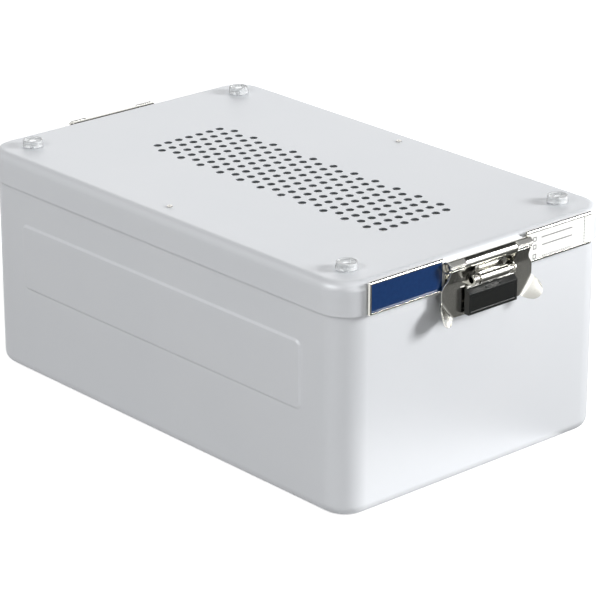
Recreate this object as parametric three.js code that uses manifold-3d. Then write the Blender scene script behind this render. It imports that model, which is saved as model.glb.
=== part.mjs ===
// Sterilization container: an aluminium pan with a perforated lift-off lid.
// Two stainless latches hold the lid, each with a hinged flap, a black lock block and a sliding bolt.
// Millimetres, +Z up. X runs along the container, from the rear latch to the front latch.
// The origin lies under the middle of the pan, on the surface that it stands on.

import * as THREE from 'three';
import { mergeGeometries, mergeVertices } from 'three/addons/utils/BufferGeometryUtils.js';
import Module from 'manifold-3d';

const wasm = await Module();
wasm.setup();

// Fits and cuts
const fit = 0.3; // gap between two pieces that meet
const overrun = 5; // how far a cutting shape passes the face that it opens

// Facets of round shapes
const cornerFacets = 3;
const edgeFacets = 3;
const rollFacets = 14;
const pinFacets = 10;
const rivetFacets = 8;
const holeFacets = 6;
const footFacets = 16;

// Lid
const lidLength = 470;
const lidWidth = 300;
const lidTop = 200; // height of the flat top above the floor
const lidSkirt = 28; // depth of the skirt
const lidSheet = 2;
const lidCorner = 28; // plan radius of the corners
const lidEdge = 8; // round between the top and the skirt

// Pan
const panPlay = 1; // between the skirt's inside and the pan
const panSheet = 2;
const panEdge = 10; // round between the sides and the floor
const panelInset = 49; // from the pan's ends to the raised panel
const panelHeight = 61;
const panelMiddle = 111; // height of the raised side panel's middle
const panelRise = 1.5;
const panelSlope = 3;
const panelCorner = 7;

// Seal under the lid
const gasketWidth = 11;
const gasketHeight = 9;

// Perforated field: lines across the lid that hold longLine and longLine - 1 holes by turns
const fieldLines = 23;
const longLine = 8;
const linePitch = 13.1;
const holePitch = 11.8;
const holeRadius = 3.5;
const fieldOffset = 12; // field's middle, towards the front latch

// Stacking feet
const footInset = 32; // from the lid's sides to a foot's middle
const footRadius = 9;
const footHeight = 6;
const dishRadius = 6.2;
const dishDepth = 2;

// Rivets
const rivetRadius = 1.5;
const rivetHeadRadius = 3;
const rivetHead = 1.1;

// Filter retainer and its two studs
const studInset = 20.5; // from the lid's sides to a stud's middle
const studRadius = 1.8;
const studHeadRadius = 2.5;
const studHead = 0.9;
const studDrop = 14; // below the lid's sheet
const filterSheet = 0.6;
const filterInset = 2; // filter's edge inside the retainer's
const retainerEndInset = 65; // from the lid's ends to the retainer
const retainerSideInset = 16.5;
const retainerHeight = 6;
const retainerSheet = 1;
const retainerCorner = 12;
const ventRadius = 11;
const ventMargin = 16;
const ventLines = 7;
const ventRows = 5;
const clipRadius = 6;
const clipHeight = 4;

// Label frames on the front skirt
const frameSheet = 0.8;
const frameDepth = 3.3;
const frameLip = 2.2;
const frameInner = 47; // from the middle to where both frames begin
const leftFrameInset = 23.5; // from the lid's side to the frame's outer end
const rightFrameInset = 28.5;
const colourPlateSheet = 1;
const cardSheet = 0.5;
const cardTab = 5; // part of the card that stands out of its frame

// Latch sheet, hinge roll and its pin; the latch's own frame lies on the hinge pin
const pivotDrop = 7.7; // hinge pin below the lid's top
const latchSheet = 1.2;
const rollRadius = 5;
const pinInset = 2.5; // from the roll's open end to the pin
const middleRoll = 57.4; // width of the bracket's roll
const sideRoll = 17; // width of each of the flap's two rolls
const stopTabFront = 4.2;
const stopTabBack = 1.4;
const stopTabTilt = 50; // degrees of the tab's middle above the level of the pin

// Bracket on the skirt
const bracketWidth = 88;
const bracketFoot = 18.5; // lower edge below the hinge pin
const bracketRivetAcross = 38;
const bracketRivetDrop = 12;

// Flap
const flapIn = 1.3; // back face inside the hinge pin
const neckDrop = 10.5;
const bendDrop = 15; // the sheet slopes in from the roll down to here
const shoulderDrop = 17.5;
const wingDrop = 27.5;
const flapDrop = 44;
const neckWidth = 89;
const wingWidth = 101;
const footWidth = 74;
const windowWidth = 44;
const windowShoulderDrop = 14;
const windowSideDrop = 16.5;
const windowDrop = 21;
const notchWidth = 14; // clears the staple
const notchDrop = 25;
const earWidth = 20;
const earLength = 17;
const earRoot = 0.8;
const earBend = 38; // degrees out of the flap

// Lock: lugs on the flap, pin, lever with its curl, block and bolt
const lockOut = 5; // lock pin outside the hinge pin
const lockDrop = 14.1;
const lugAcross = 22;
const lugRadius = 4.6;
const curlRadius = 4.6;
const curlWidth = 31;
const leverWidth = 48;
const leverShoulderDrop = 19.4;
const leverDrop = 41.6;
const blockWidth = 55;
const blockTopDrop = 21.1;
const blockShoulderDrop = 24.8;
const blockDrop = 42.6;
const blockTopDepth = 2.6;
const blockWall = 0.9;
const boltOut = 3.5;
const boltDrop = 33;
const boltRadius = 1.2;
const boltLength = 18;
const boltFrom = 25.5; // far end of the drawn bolt from the middle
const boltReach = 11.5; // far end of the bolt's bore on the other side
const eyePlay = 0.5;

// Catch on the pan: plate and staple
const catchSheet = 1.5;
const catchWidth = 36;
const catchTopDrop = 24.3;
const catchBottomDrop = 46.3;
const catchRivetAcross = 13;
const catchRivetDrop = 35.3;
const stapleWidth = 8;
const stapleWall = 0.7;
const stapleTopDrop = 29;
const stapleBottomDrop = 37.5;

// Torsion spring on the lock pin
const wireRadius = 0.4;
const springTurns = 3;
const springPitch = 1.25;
const springLegUp = 5;
const springLegDown = 4.2;
const springSides = 5;
const springSteps = 8; // for each turn

// Sizes that follow
const panLength = lidLength - 2 * (lidSheet + panPlay);
const panWidth = lidWidth - 2 * (lidSheet + panPlay);
const panCorner = lidCorner - lidSheet - panPlay;
const panelLength = panLength - 2 * panelInset;
const lidUnder = lidTop - lidSheet;
const skirtBottom = lidTop - lidSkirt;
const gasketBottom = lidUnder - fit - gasketHeight;
const panRim = gasketBottom - fit;
const filterTop = lidUnder - fit;
const retainerTop = filterTop - filterSheet - fit;
const retainerBottom = retainerTop - retainerHeight;
const retainerLength = lidLength - 2 * retainerEndInset;
const retainerWidth = lidWidth - 2 * retainerSideInset;
const pivotX = lidLength / 2 + fit + rollRadius;
const pivotZ = lidTop - pivotDrop;
const skirtFace = lidLength / 2 - pivotX;
const skirtInside = skirtFace - lidSheet;
const panFace = panLength / 2 - pivotX;
const rollBore = rollRadius - latchSheet;
const pinRadius = rollBore - fit;
const rollEnd = middleRoll / 2 + fit + sideRoll; // the side rolls end here
const lockBore = curlRadius - latchSheet;
const lockPinRadius = lockBore - fit;
const leverBack = lockOut - curlRadius;
const eyeRadius = boltRadius + eyePlay;
const stapleEnd = boltOut + eyeRadius + stapleWall;
const hollowFront = stapleEnd + fit;
const blockFront = hollowFront + blockWall;

// Finishes
const aluminium = { color: 0xd6dadd, roughness: 0.42, metalness: 0.55 };
const stainless = { color: 0xb4b3ae, roughness: 0.2, metalness: 1 };
const blackPlastic = { color: 0x1d2120, roughness: 0.45, metalness: 0 };
const clearPlastic = { color: 0xe3e6e8, roughness: 0.15, metalness: 0 };
const silicone = { color: 0xb9c4c6, roughness: 0.6, metalness: 0 };
const bluePlate = { color: 0x24468a, roughness: 0.35, metalness: 0.2 };
const whiteCard = { color: 0xf6f6f2, roughness: 0.8, metalness: 0 };
const filterPaper = { color: 0xf1f2ee, roughness: 0.9, metalness: 0 };

// A closed geometry becomes a solid once its shared points are merged and flat triangles dropped
function solidOf(geometry) {
  const bare = geometry.clone();
  bare.deleteAttribute('normal');
  bare.deleteAttribute('uv');
  const merged = mergeVertices(bare);
  const index = merged.index.array;
  const triangles = [];
  for (let i = 0; i < index.length; i += 3) {
    const [a, b, c] = [index[i], index[i + 1], index[i + 2]];
    if (a !== b && b !== c && c !== a) triangles.push(a, b, c);
  }
  const mesh = new wasm.Mesh({
    numProp: 3,
    vertProperties: new Float32Array(merged.attributes.position.array),
    triVerts: new Uint32Array(triangles),
  });
  return new wasm.Manifold(mesh);
}

function geometryOf(solid) {
  const mesh = solid.getMesh();
  const geometry = new THREE.BufferGeometry();
  geometry.setAttribute('position', new THREE.BufferAttribute(mesh.vertProperties, 3));
  geometry.setIndex(new THREE.BufferAttribute(mesh.triVerts, 1));
  geometry.computeVertexNormals();
  return geometry;
}

function join(first, ...others) {
  return others.reduce((whole, next) => whole.add(next), first);
}

function cut(first, ...others) {
  return others.reduce((whole, next) => whole.subtract(next), first);
}

function piece(name, solid, finish) {
  const mesh = new THREE.Mesh(geometryOf(solid), new THREE.MeshStandardMaterial(finish));
  mesh.name = name;
  return mesh;
}

function box(x0, x1, y0, y1, z0, z1) {
  const geometry = new THREE.BoxGeometry(x1 - x0, y1 - y0, z1 - z0);
  geometry.translate((x0 + x1) / 2, (y0 + y1) / 2, (z0 + z1) / 2);
  return solidOf(geometry);
}

// Rods along each axis, from one end to the other, around a given line
function rodY(radius, y0, y1, x, z, facets) {
  const geometry = new THREE.CylinderGeometry(radius, radius, y1 - y0, facets);
  geometry.translate(x, (y0 + y1) / 2, z);
  return solidOf(geometry);
}

function rodX(radius, x0, x1, y, z, facets) {
  const geometry = new THREE.CylinderGeometry(radius, radius, x1 - x0, facets);
  geometry.rotateZ(Math.PI / 2).translate((x0 + x1) / 2, y, z);
  return solidOf(geometry);
}

function rodZGeometry(radius, z0, z1, x, y, facets) {
  const geometry = new THREE.CylinderGeometry(radius, radius, z1 - z0, facets);
  return geometry.rotateX(Math.PI / 2).translate(x, y, (z0 + z1) / 2);
}

function rodZ(radius, z0, z1, x, y, facets) {
  return solidOf(rodZGeometry(radius, z0, z1, x, y, facets));
}

function outline(points) {
  return new THREE.Shape(points.map(([a, b]) => new THREE.Vector2(a, b)));
}

function roundedRectangle(length, width, radius) {
  const [a, b] = [length / 2 - radius, width / 2 - radius];
  const shape = new THREE.Shape();
  shape.absarc(a, b, radius, 0, Math.PI / 2);
  shape.absarc(-a, b, radius, Math.PI / 2, Math.PI);
  shape.absarc(-a, -b, radius, Math.PI, 1.5 * Math.PI);
  shape.absarc(a, -b, radius, 1.5 * Math.PI, 2 * Math.PI);
  return shape;
}

function flatExtrusion(shape, depth) {
  return new THREE.ExtrudeGeometry(shape, { depth, bevelEnabled: false, curveSegments: cornerFacets });
}

// An outline drawn in Y and Z, made solid from x0 to x1
function plate(shape, x0, x1) {
  const geometry = flatExtrusion(shape, x1 - x0);
  const [x, y, z] = [new THREE.Vector3(1, 0, 0), new THREE.Vector3(0, 1, 0), new THREE.Vector3(0, 0, 1)];
  geometry.applyMatrix4(new THREE.Matrix4().makeBasis(y, z, x));
  geometry.translate(x0, 0, 0);
  return solidOf(geometry);
}

// An outline drawn in X and Z, made solid from y0 to y1
function profile(shape, y0, y1) {
  const geometry = flatExtrusion(shape, y1 - y0);
  geometry.rotateX(Math.PI / 2).translate(0, y1, 0);
  return solidOf(geometry);
}

// A block with round corners in plan and the same round along its upper and lower edges
function roundedBlock(length, width, corner, edge, z0, z1) {
  const geometry = new THREE.ExtrudeGeometry(roundedRectangle(length, width, corner), {
    depth: z1 - z0 - 2 * edge,
    bevelThickness: edge,
    bevelSize: edge,
    bevelOffset: -edge,
    bevelSegments: edgeFacets,
    curveSegments: cornerFacets,
  });
  geometry.translate(0, 0, z0 + edge);
  return solidOf(geometry);
}

// Everything above or below a level, wide enough for the whole container
function slabAround(z0, z1) {
  const halfLength = lidLength / 2 + overrun;
  const halfWidth = lidWidth / 2 + overrun;
  return box(-halfLength, halfLength, -halfWidth, halfWidth, z0, z1);
}

// A rivet along X with its domed head on the outer side, and an inner head where there is room
function rivetX(outside, inside, y, z, innerHead) {
  const shank = rodX(rivetRadius, inside, outside + rivetHead / 2, y, z, rivetFacets);
  const crown = rivetHeadRadius / 2;
  const headShape = new THREE.CylinderGeometry(crown, rivetHeadRadius, rivetHead, rivetFacets);
  headShape.rotateZ(-Math.PI / 2).translate(outside + rivetHead / 2, y, z);
  const head = solidOf(headShape);
  if (!innerHead) return join(shank, head);
  return join(shank, head, rodX(rivetHeadRadius, inside - rivetHead, inside, y, z, rivetFacets));
}

// Pan

function raisedPanels(inward) {
  const panels = [-1, 1].map((side) => {
    const geometry = new THREE.ExtrudeGeometry(roundedRectangle(panelLength, panelHeight, panelCorner), {
      depth: panSheet / 2,
      bevelThickness: panelRise,
      bevelSize: panelSlope,
      bevelOffset: -panelSlope,
      bevelSegments: 1,
      curveSegments: cornerFacets,
    });
    geometry.translate(0, 0, -panSheet / 2).rotateX(side * -Math.PI / 2);
    return solidOf(geometry.translate(0, side * (panWidth / 2 - inward), panelMiddle));
  });
  return join(...panels);
}

function panBody() {
  const cap = panRim + panEdge + overrun;
  const outer = roundedBlock(panLength, panWidth, panCorner, panEdge, 0, cap);
  const innerLength = panLength - 2 * panSheet;
  const innerWidth = panWidth - 2 * panSheet;
  const innerCorner = panCorner - panSheet;
  const inner = roundedBlock(innerLength, innerWidth, innerCorner, panEdge - panSheet, panSheet, cap);
  const wall = cut(join(outer, raisedPanels(0)), join(inner, raisedPanels(panSheet)));
  const holes = [-1, 1].flatMap((end) => [-1, 1].map((side) => rodX(
    rivetRadius + fit,
    end * panLength / 2 - panSheet - overrun,
    end * panLength / 2 + panSheet + overrun,
    side * catchRivetAcross,
    pivotZ - catchRivetDrop,
    rivetFacets,
  )));
  return cut(wall, slabAround(panRim, cap + overrun), ...holes);
}

// Lid

function fieldHoles() {
  const holes = [];
  for (let line = 0; line < fieldLines; line += 1) {
    const count = line % 2 === 0 ? longLine - 1 : longLine;
    const x = fieldOffset + (line - (fieldLines - 1) / 2) * linePitch;
    for (let hole = 0; hole < count; hole += 1) {
      const y = (hole - (count - 1) / 2) * holePitch;
      holes.push(rodZGeometry(holeRadius, lidUnder - overrun, lidTop + overrun, x, y, holeFacets));
    }
  }
  return solidOf(mergeGeometries(holes));
}

const footPlaces = [1, -1].flatMap((end) => [-1, 1].map((side) => [
  end * (lidLength / 2 - footInset),
  side * (lidWidth / 2 - footInset),
]));

const studPlaces = [-1, 1].map((side) => [0, side * (lidWidth / 2 - studInset)]);

function lidBody() {
  const outerFloor = skirtBottom - lidEdge - overrun;
  const outer = roundedBlock(lidLength, lidWidth, lidCorner, lidEdge, outerFloor, lidTop);
  const innerCorner = lidCorner - lidSheet;
  const innerEdge = lidEdge - lidSheet;
  const innerLength = lidLength - 2 * lidSheet;
  const innerWidth = lidWidth - 2 * lidSheet;
  const innerFloor = skirtBottom - 2 * (innerEdge + overrun);
  const inner = roundedBlock(innerLength, innerWidth, innerCorner, innerEdge, innerFloor, lidUnder);
  const shell = cut(outer, inner, slabAround(innerFloor - overrun, skirtBottom), fieldHoles());
  const studHoles = studPlaces.map(([x, y]) => (
    rodZ(studRadius + fit, lidUnder - overrun, lidTop + overrun, x, y, rivetFacets)
  ));
  const footHoles = footPlaces.map(([x, y]) => (
    rodZ(rivetRadius + fit, lidUnder - overrun, lidTop + overrun, x, y, rivetFacets)
  ));
  const bracketHoles = [-1, 1].flatMap((end) => [-1, 1].map((side) => rodX(
    rivetRadius + fit,
    end * lidLength / 2 - lidSheet - overrun,
    end * lidLength / 2 + lidSheet + overrun,
    side * bracketRivetAcross,
    pivotZ - bracketRivetDrop,
    rivetFacets,
  )));
  return cut(shell, ...studHoles, ...footHoles, ...bracketHoles);
}

function gasketRing() {
  const length = lidLength - 2 * (lidSheet + fit);
  const width = lidWidth - 2 * (lidSheet + fit);
  const corner = lidCorner - lidSheet - fit;
  const edge = lidEdge - lidSheet - fit;
  const floor = gasketBottom - 2 * edge - overrun;
  const outer = roundedBlock(length, width, corner, edge, floor, lidUnder - fit);
  const [innerLength, innerWidth] = [length - 2 * gasketWidth, width - 2 * gasketWidth];
  const innerShape = roundedRectangle(innerLength, innerWidth, corner - gasketWidth);
  const inner = flatExtrusion(innerShape, lidUnder + overrun - floor);
  inner.translate(0, 0, floor);
  return cut(outer, solidOf(inner), slabAround(floor - overrun, gasketBottom));
}

function stackingFoot(x, y) {
  const bottom = lidTop + fit;
  const top = bottom + footHeight;
  const disc = rodZ(footRadius, bottom, top, x, y, footFacets);
  const dish = rodZ(dishRadius, top - dishDepth, top + overrun, x, y, footFacets);
  const bore = rodZ(rivetRadius + fit, bottom - overrun, top, x, y, rivetFacets);
  return cut(disc, dish, bore);
}

function footRivet(x, y) {
  const seat = lidTop + footHeight + fit - dishDepth + fit;
  const under = lidUnder - fit;
  const shank = rodZ(rivetRadius, under - rivetHead / 2, seat + rivetHead / 2, x, y, rivetFacets);
  const head = rodZ(rivetHeadRadius, seat, seat + rivetHead, x, y, rivetFacets);
  const lowerHead = rodZ(rivetHeadRadius, under - rivetHead, under, x, y, rivetFacets);
  return join(shank, head, lowerHead);
}

function retainerStud(x, y) {
  const shank = rodZ(studRadius, lidUnder - studDrop, lidTop + fit + studHead / 2, x, y, pinFacets);
  const head = rodZ(studHeadRadius, lidTop + fit, lidTop + fit + studHead, x, y, pinFacets);
  return join(shank, head);
}

// Filter and its retainer, drawn down off the studs

function flatSheet(length, width, corner, z0, z1) {
  const geometry = flatExtrusion(roundedRectangle(length, width, corner), z1 - z0);
  geometry.translate(0, 0, z0);
  return solidOf(geometry);
}

function studBores(z0, z1) {
  return studPlaces.map(([x, y]) => rodZ(studRadius + fit, z0, z1, x, y, pinFacets));
}

function filterLayer() {
  const length = retainerLength - 2 * filterInset;
  const width = retainerWidth - 2 * filterInset;
  const sheet = flatSheet(length, width, retainerCorner, filterTop - filterSheet, filterTop);
  return cut(sheet, ...studBores(retainerTop - overrun, lidTop));
}

function retainerTray() {
  const outer = flatSheet(retainerLength, retainerWidth, retainerCorner, retainerBottom, retainerTop);
  const inner = flatSheet(
    retainerLength - 2 * retainerSheet,
    retainerWidth - 2 * retainerSheet,
    retainerCorner - retainerSheet,
    retainerBottom + retainerSheet,
    retainerTop + overrun,
  );
  const vents = [];
  const linePace = (retainerLength - 2 * ventMargin) / ventLines;
  const rowPace = (retainerWidth - 2 * ventMargin) / ventRows;
  for (let line = 0; line < ventLines; line += 1) {
    for (let row = 0; row < ventRows; row += 1) {
      const x = (line - (ventLines - 1) / 2) * linePace;
      const y = (row - (ventRows - 1) / 2) * rowPace;
      vents.push(rodZGeometry(ventRadius, retainerBottom - overrun, retainerTop, x, y, holeFacets));
    }
  }
  const bores = studBores(retainerBottom - overrun, retainerTop);
  return cut(outer, inner, solidOf(mergeGeometries(vents)), ...bores);
}

function retainerClip(x, y) {
  const top = retainerBottom - fit;
  const knob = rodZ(clipRadius, top - clipHeight, top, x, y, pinFacets);
  return cut(knob, rodZ(studRadius + fit, top - clipHeight - overrun, top + overrun, x, y, pinFacets));
}

// Label frames on the front skirt, the blue plate in the left one and the card in the right one

const frameBack = lidLength / 2 + fit;
const frameFront = frameBack + frameDepth;

function labelFrame(y0, y1) {
  const lipBack = frameFront - frameSheet;
  const channel = outline([
    [frameBack, skirtBottom],
    [frameFront, skirtBottom],
    [frameFront, skirtBottom + frameLip],
    [lipBack, skirtBottom + frameLip],
    [lipBack, skirtBottom + frameSheet],
    [frameBack + frameSheet, skirtBottom + frameSheet],
    [frameBack + frameSheet, lidTop - frameSheet],
    [lipBack, lidTop - frameSheet],
    [lipBack, lidTop - frameLip],
    [frameFront, lidTop - frameLip],
    [frameFront, lidTop],
    [frameBack, lidTop],
  ]);
  return profile(channel, y0, y1);
}

const leftEnd = leftFrameInset - lidWidth / 2;
const rightEnd = lidWidth / 2 - rightFrameInset;

function leftFrame() {
  const lipBack = frameFront - frameSheet;
  const endWall = box(frameBack, frameFront, leftEnd, leftEnd + frameSheet, skirtBottom, lidTop);
  const endLip = box(lipBack, frameFront, leftEnd, leftEnd + frameLip, skirtBottom, lidTop);
  return join(labelFrame(leftEnd, -frameInner), endWall, endLip);
}

function inChannel(sheet, y0, y1) {
  const back = frameBack + frameSheet + (frameDepth - 2 * frameSheet - sheet) / 2;
  const [z0, z1] = [skirtBottom + frameSheet + fit, lidTop - frameSheet - fit];
  return box(back, back + sheet, y0, y1, z0, z1);
}

// Latch, in a frame on its hinge pin: X points away from the container, Z up

function ring(radius, bore, y0, y1, x, z) {
  const tube = rodY(radius, y0, y1, x, z, rollFacets);
  return cut(tube, rodY(bore, y0 - overrun, y1 + overrun, x, z, rollFacets));
}

function hingeBracket() {
  const back = skirtFace + fit;
  const front = back + latchSheet;
  const half = middleRoll / 2;
  const wide = bracketWidth / 2;
  const sidePlate = box(back, front, -wide, wide, -bracketFoot, -rollRadius - 2 * fit);
  const middlePlate = box(back, front, -half, half, -rollRadius - overrun, 0);
  const bore = rodY(rollBore, -half - overrun, half + overrun, 0, 0, rollFacets);
  const rivetHoles = [-1, 1].map((side) => rodX(
    rivetRadius + fit,
    back - overrun,
    front + overrun,
    side * bracketRivetAcross,
    -bracketRivetDrop,
    rivetFacets,
  ));
  const roll = ring(rollRadius, rollBore, -half, half, 0, 0);
  return cut(join(sidePlate, middlePlate, roll), bore, ...rivetHoles);
}

function bracketRivet(side) {
  const outside = skirtFace + fit + latchSheet + fit;
  return rivetX(outside, skirtInside, side * bracketRivetAcross, -bracketRivetDrop, false);
}

function flapFace() {
  const [neck, wing, foot, notch] = [neckWidth / 2, wingWidth / 2, footWidth / 2, notchWidth / 2];
  return outline([
    [-neck, 0],
    [-neck, -neckDrop],
    [-wing, -shoulderDrop],
    [-wing, -wingDrop],
    [-foot, -flapDrop],
    [-notch, -flapDrop],
    [-notch, -notchDrop],
    [notch, -notchDrop],
    [notch, -flapDrop],
    [foot, -flapDrop],
    [wing, -wingDrop],
    [wing, -shoulderDrop],
    [neck, -neckDrop],
    [neck, 0],
  ]);
}

function flapWindow() {
  const [top, side] = [middleRoll / 2 + fit, windowWidth / 2];
  return outline([
    [-top, overrun],
    [-top, -windowShoulderDrop],
    [-side, -windowSideDrop],
    [-side, -windowDrop],
    [side, -windowDrop],
    [side, -windowSideDrop],
    [top, -windowShoulderDrop],
    [top, overrun],
  ]);
}

function flapEar(side) {
  const shape = new THREE.Shape();
  const tip = earWidth / 3;
  shape.moveTo(-earWidth / 2, -earRoot);
  shape.lineTo(earWidth / 2, -earRoot);
  shape.lineTo(earWidth / 2, 0);
  shape.bezierCurveTo(earWidth / 2, earLength / 2, tip, earLength, 0, earLength);
  shape.bezierCurveTo(-tip, earLength, -earWidth / 2, earLength / 2, -earWidth / 2, 0);
  const petal = flatExtrusion(shape, latchSheet);
  petal.translate(0, 0, -latchSheet / 2);
  const upper = new THREE.Vector3(0, side * wingWidth / 2, -wingDrop);
  const lower = new THREE.Vector3(0, side * footWidth / 2, -flapDrop);
  const along = lower.clone().sub(upper).normalize();
  const away = new THREE.Vector3(0, -side * along.z, side * along.y);
  const bend = THREE.MathUtils.degToRad(earBend);
  const reach = away.clone().multiplyScalar(Math.cos(bend)).add(new THREE.Vector3(Math.sin(bend), 0, 0));
  const facing = along.clone().cross(reach);
  const middle = upper.clone().add(lower).multiplyScalar(0.5);
  petal.applyMatrix4(new THREE.Matrix4().makeBasis(along, reach, facing));
  petal.translate(latchSheet / 2 - flapIn, middle.y, middle.z);
  return solidOf(petal);
}

function stopTab(y0, y1) {
  const tab = new THREE.BoxGeometry(latchSheet, y1 - y0, stopTabFront + stopTabBack);
  tab.translate(rollRadius + latchSheet / 2 - fit, (y0 + y1) / 2, (stopTabBack - stopTabFront) / 2);
  return solidOf(tab.rotateY(-THREE.MathUtils.degToRad(stopTabTilt)));
}

function lug(side) {
  const inner = side * lugAcross;
  const outer = side * (lugAcross + latchSheet);
  const [y0, y1] = [Math.min(inner, outer), Math.max(inner, outer)];
  const web = box(-flapIn, lockOut, y0, y1, -lockDrop - lugRadius, -lockDrop + lugRadius);
  const nose = rodY(lugRadius, y0, y1, lockOut, -lockDrop, rollFacets);
  const bore = rodY(lockBore, y0 - overrun, y1 + overrun, lockOut, -lockDrop, rollFacets);
  return cut(join(web, nose), bore);
}

function latchFlap() {
  const inner = middleRoll / 2 + fit;
  const section = outline([
    [rollRadius - latchSheet, 0],
    [rollRadius, 0],
    [rollRadius, -latchSheet],
    [latchSheet - flapIn, -bendDrop],
    [latchSheet - flapIn, -flapDrop],
    [-flapIn, -flapDrop],
    [-flapIn, -bendDrop],
    [rollRadius - latchSheet, -latchSheet],
  ]);
  const sheet = profile(section, -wingWidth / 2, wingWidth / 2);
  const face = plate(flapFace(), -overrun, rollRadius + overrun);
  const opening = plate(flapWindow(), -overrun, rollRadius + overrun);
  const rolls = [[-rollEnd, -inner], [inner, rollEnd]].flatMap(([y0, y1]) => [
    ring(rollRadius, rollBore, y0, y1, 0, 0),
    stopTab(y0, y1),
  ]);
  const body = cut(sheet.intersect(face), opening);
  const bore = rodY(rollBore, -rollEnd - overrun, rollEnd + overrun, 0, 0, rollFacets);
  return cut(join(body, ...rolls, lug(-1), lug(1), flapEar(-1), flapEar(1)), bore);
}

function lockLever() {
  const half = leverWidth / 2;
  const neck = curlWidth / 2;
  const notch = notchWidth / 2;
  const front = leverBack + latchSheet;
  const lower = box(leverBack, front, -half, half, -leverDrop, -leverShoulderDrop);
  const upper = box(leverBack, front, -neck, neck, -leverShoulderDrop - fit, -lockDrop);
  const curl = ring(curlRadius, lockBore, -neck, neck, lockOut, -lockDrop);
  const mouthBottom = -leverDrop - overrun;
  const mouth = box(leverBack - overrun, front + overrun, -notch, notch, mouthBottom, -notchDrop);
  const bore = rodY(lockBore, -neck, neck, lockOut, -lockDrop, rollFacets);
  return cut(join(lower, upper, curl), mouth, bore);
}

function lockBlock() {
  const half = blockWidth / 2;
  const notch = notchWidth / 2;
  const section = outline([
    [leverBack, -blockDrop],
    [blockFront, -blockDrop],
    [blockFront, -blockShoulderDrop],
    [leverBack + blockTopDepth, -blockTopDrop],
    [leverBack, -blockTopDrop],
  ]);
  const pocketHalf = leverWidth / 2 + fit;
  const pocketFront = leverBack + latchSheet + fit;
  const [pocketBottom, pocketTop] = [-leverDrop - fit, -blockTopDrop + overrun];
  const pocket = box(leverBack - overrun, pocketFront, -pocketHalf, pocketHalf, pocketBottom, pocketTop);
  const hollow = box(leverBack - overrun, hollowFront, -notch, notch, -blockDrop - overrun, -notchDrop);
  const bore = rodY(boltRadius + fit, -boltFrom - fit, boltReach, boltOut, -boltDrop, pinFacets);
  return cut(profile(section, -half, half), pocket, hollow, bore);
}

function lockSpring() {
  const radius = lockPinRadius + fit + wireRadius + fit / 2;
  const start = -lugAcross + fit + wireRadius;
  const points = [new THREE.Vector3(lockOut - radius, start, -lockDrop + springLegUp)];
  const count = springTurns * springSteps;
  for (let step = 0; step <= count; step += 1) {
    const angle = Math.PI + (step / springSteps) * 2 * Math.PI;
    points.push(new THREE.Vector3(
      lockOut + radius * Math.cos(angle),
      start + (step / springSteps) * springPitch,
      -lockDrop + radius * Math.sin(angle),
    ));
  }
  const end = points[points.length - 1];
  points.push(new THREE.Vector3(end.x, end.y, -lockDrop - springLegDown));
  const section = outline(Array.from({ length: springSides }, (_, side) => {
    const turn = (side / springSides) * 2 * Math.PI;
    return [wireRadius * Math.cos(turn), wireRadius * Math.sin(turn)];
  }));
  const wire = new THREE.ExtrudeGeometry(section, {
    steps: count + springSteps,
    extrudePath: new THREE.CatmullRomCurve3(points, false, 'centripetal'),
    bevelEnabled: false,
  });
  return solidOf(wire);
}

function catchPlate() {
  const back = panFace + fit;
  const half = catchWidth / 2;
  const strap = box(back, back + catchSheet, -half, half, -catchBottomDrop, -catchTopDrop);
  const holes = [-1, 1].map((side) => rodX(
    rivetRadius + fit,
    back - overrun,
    back + catchSheet + overrun,
    side * catchRivetAcross,
    -catchRivetDrop,
    rivetFacets,
  ));
  return cut(strap, ...holes);
}

function catchStaple() {
  const back = panFace + fit + catchSheet + fit;
  const half = stapleWidth / 2;
  const bar = box(back, stapleEnd, -half, half, -stapleBottomDrop, -stapleTopDrop);
  return cut(bar, rodY(eyeRadius, -half - overrun, half + overrun, boltOut, -boltDrop, pinFacets));
}

function catchRivet(side) {
  const outside = panFace + fit + catchSheet + fit;
  const inside = panFace - panSheet - fit;
  return rivetX(outside, inside, side * catchRivetAcross, -catchRivetDrop, true);
}

function latch(end) {
  const group = new THREE.Group();
  group.add(piece(`${end}_hinge_bracket`, hingeBracket(), stainless));
  const hingePin = rodY(pinRadius, pinInset - rollEnd, rollEnd - pinInset, 0, 0, pinFacets);
  group.add(piece(`${end}_hinge_pin`, hingePin, stainless));
  group.add(piece(`${end}_latch_flap`, latchFlap(), stainless));
  const pinEnd = lugAcross + latchSheet;
  const lockPin = rodY(lockPinRadius, -pinEnd, pinEnd, lockOut, -lockDrop, pinFacets);
  group.add(piece(`${end}_lock_pin`, lockPin, stainless));
  group.add(piece(`${end}_lock_spring`, lockSpring(), stainless));
  group.add(piece(`${end}_lock_lever`, lockLever(), stainless));
  group.add(piece(`${end}_lock_block`, lockBlock(), blackPlastic));
  const bolt = rodY(boltRadius, -boltFrom, -boltFrom + boltLength, boltOut, -boltDrop, pinFacets);
  group.add(piece(`${end}_lock_bolt`, bolt, stainless));
  group.add(piece(`${end}_catch_plate`, catchPlate(), stainless));
  group.add(piece(`${end}_catch_staple`, catchStaple(), stainless));
  for (const [name, side] of [['left', -1], ['right', 1]]) {
    group.add(piece(`${end}_bracket_rivet_${name}`, bracketRivet(side), stainless));
    group.add(piece(`${end}_catch_rivet_${name}`, catchRivet(side), aluminium));
  }
  return group;
}

// The whole container

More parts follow.
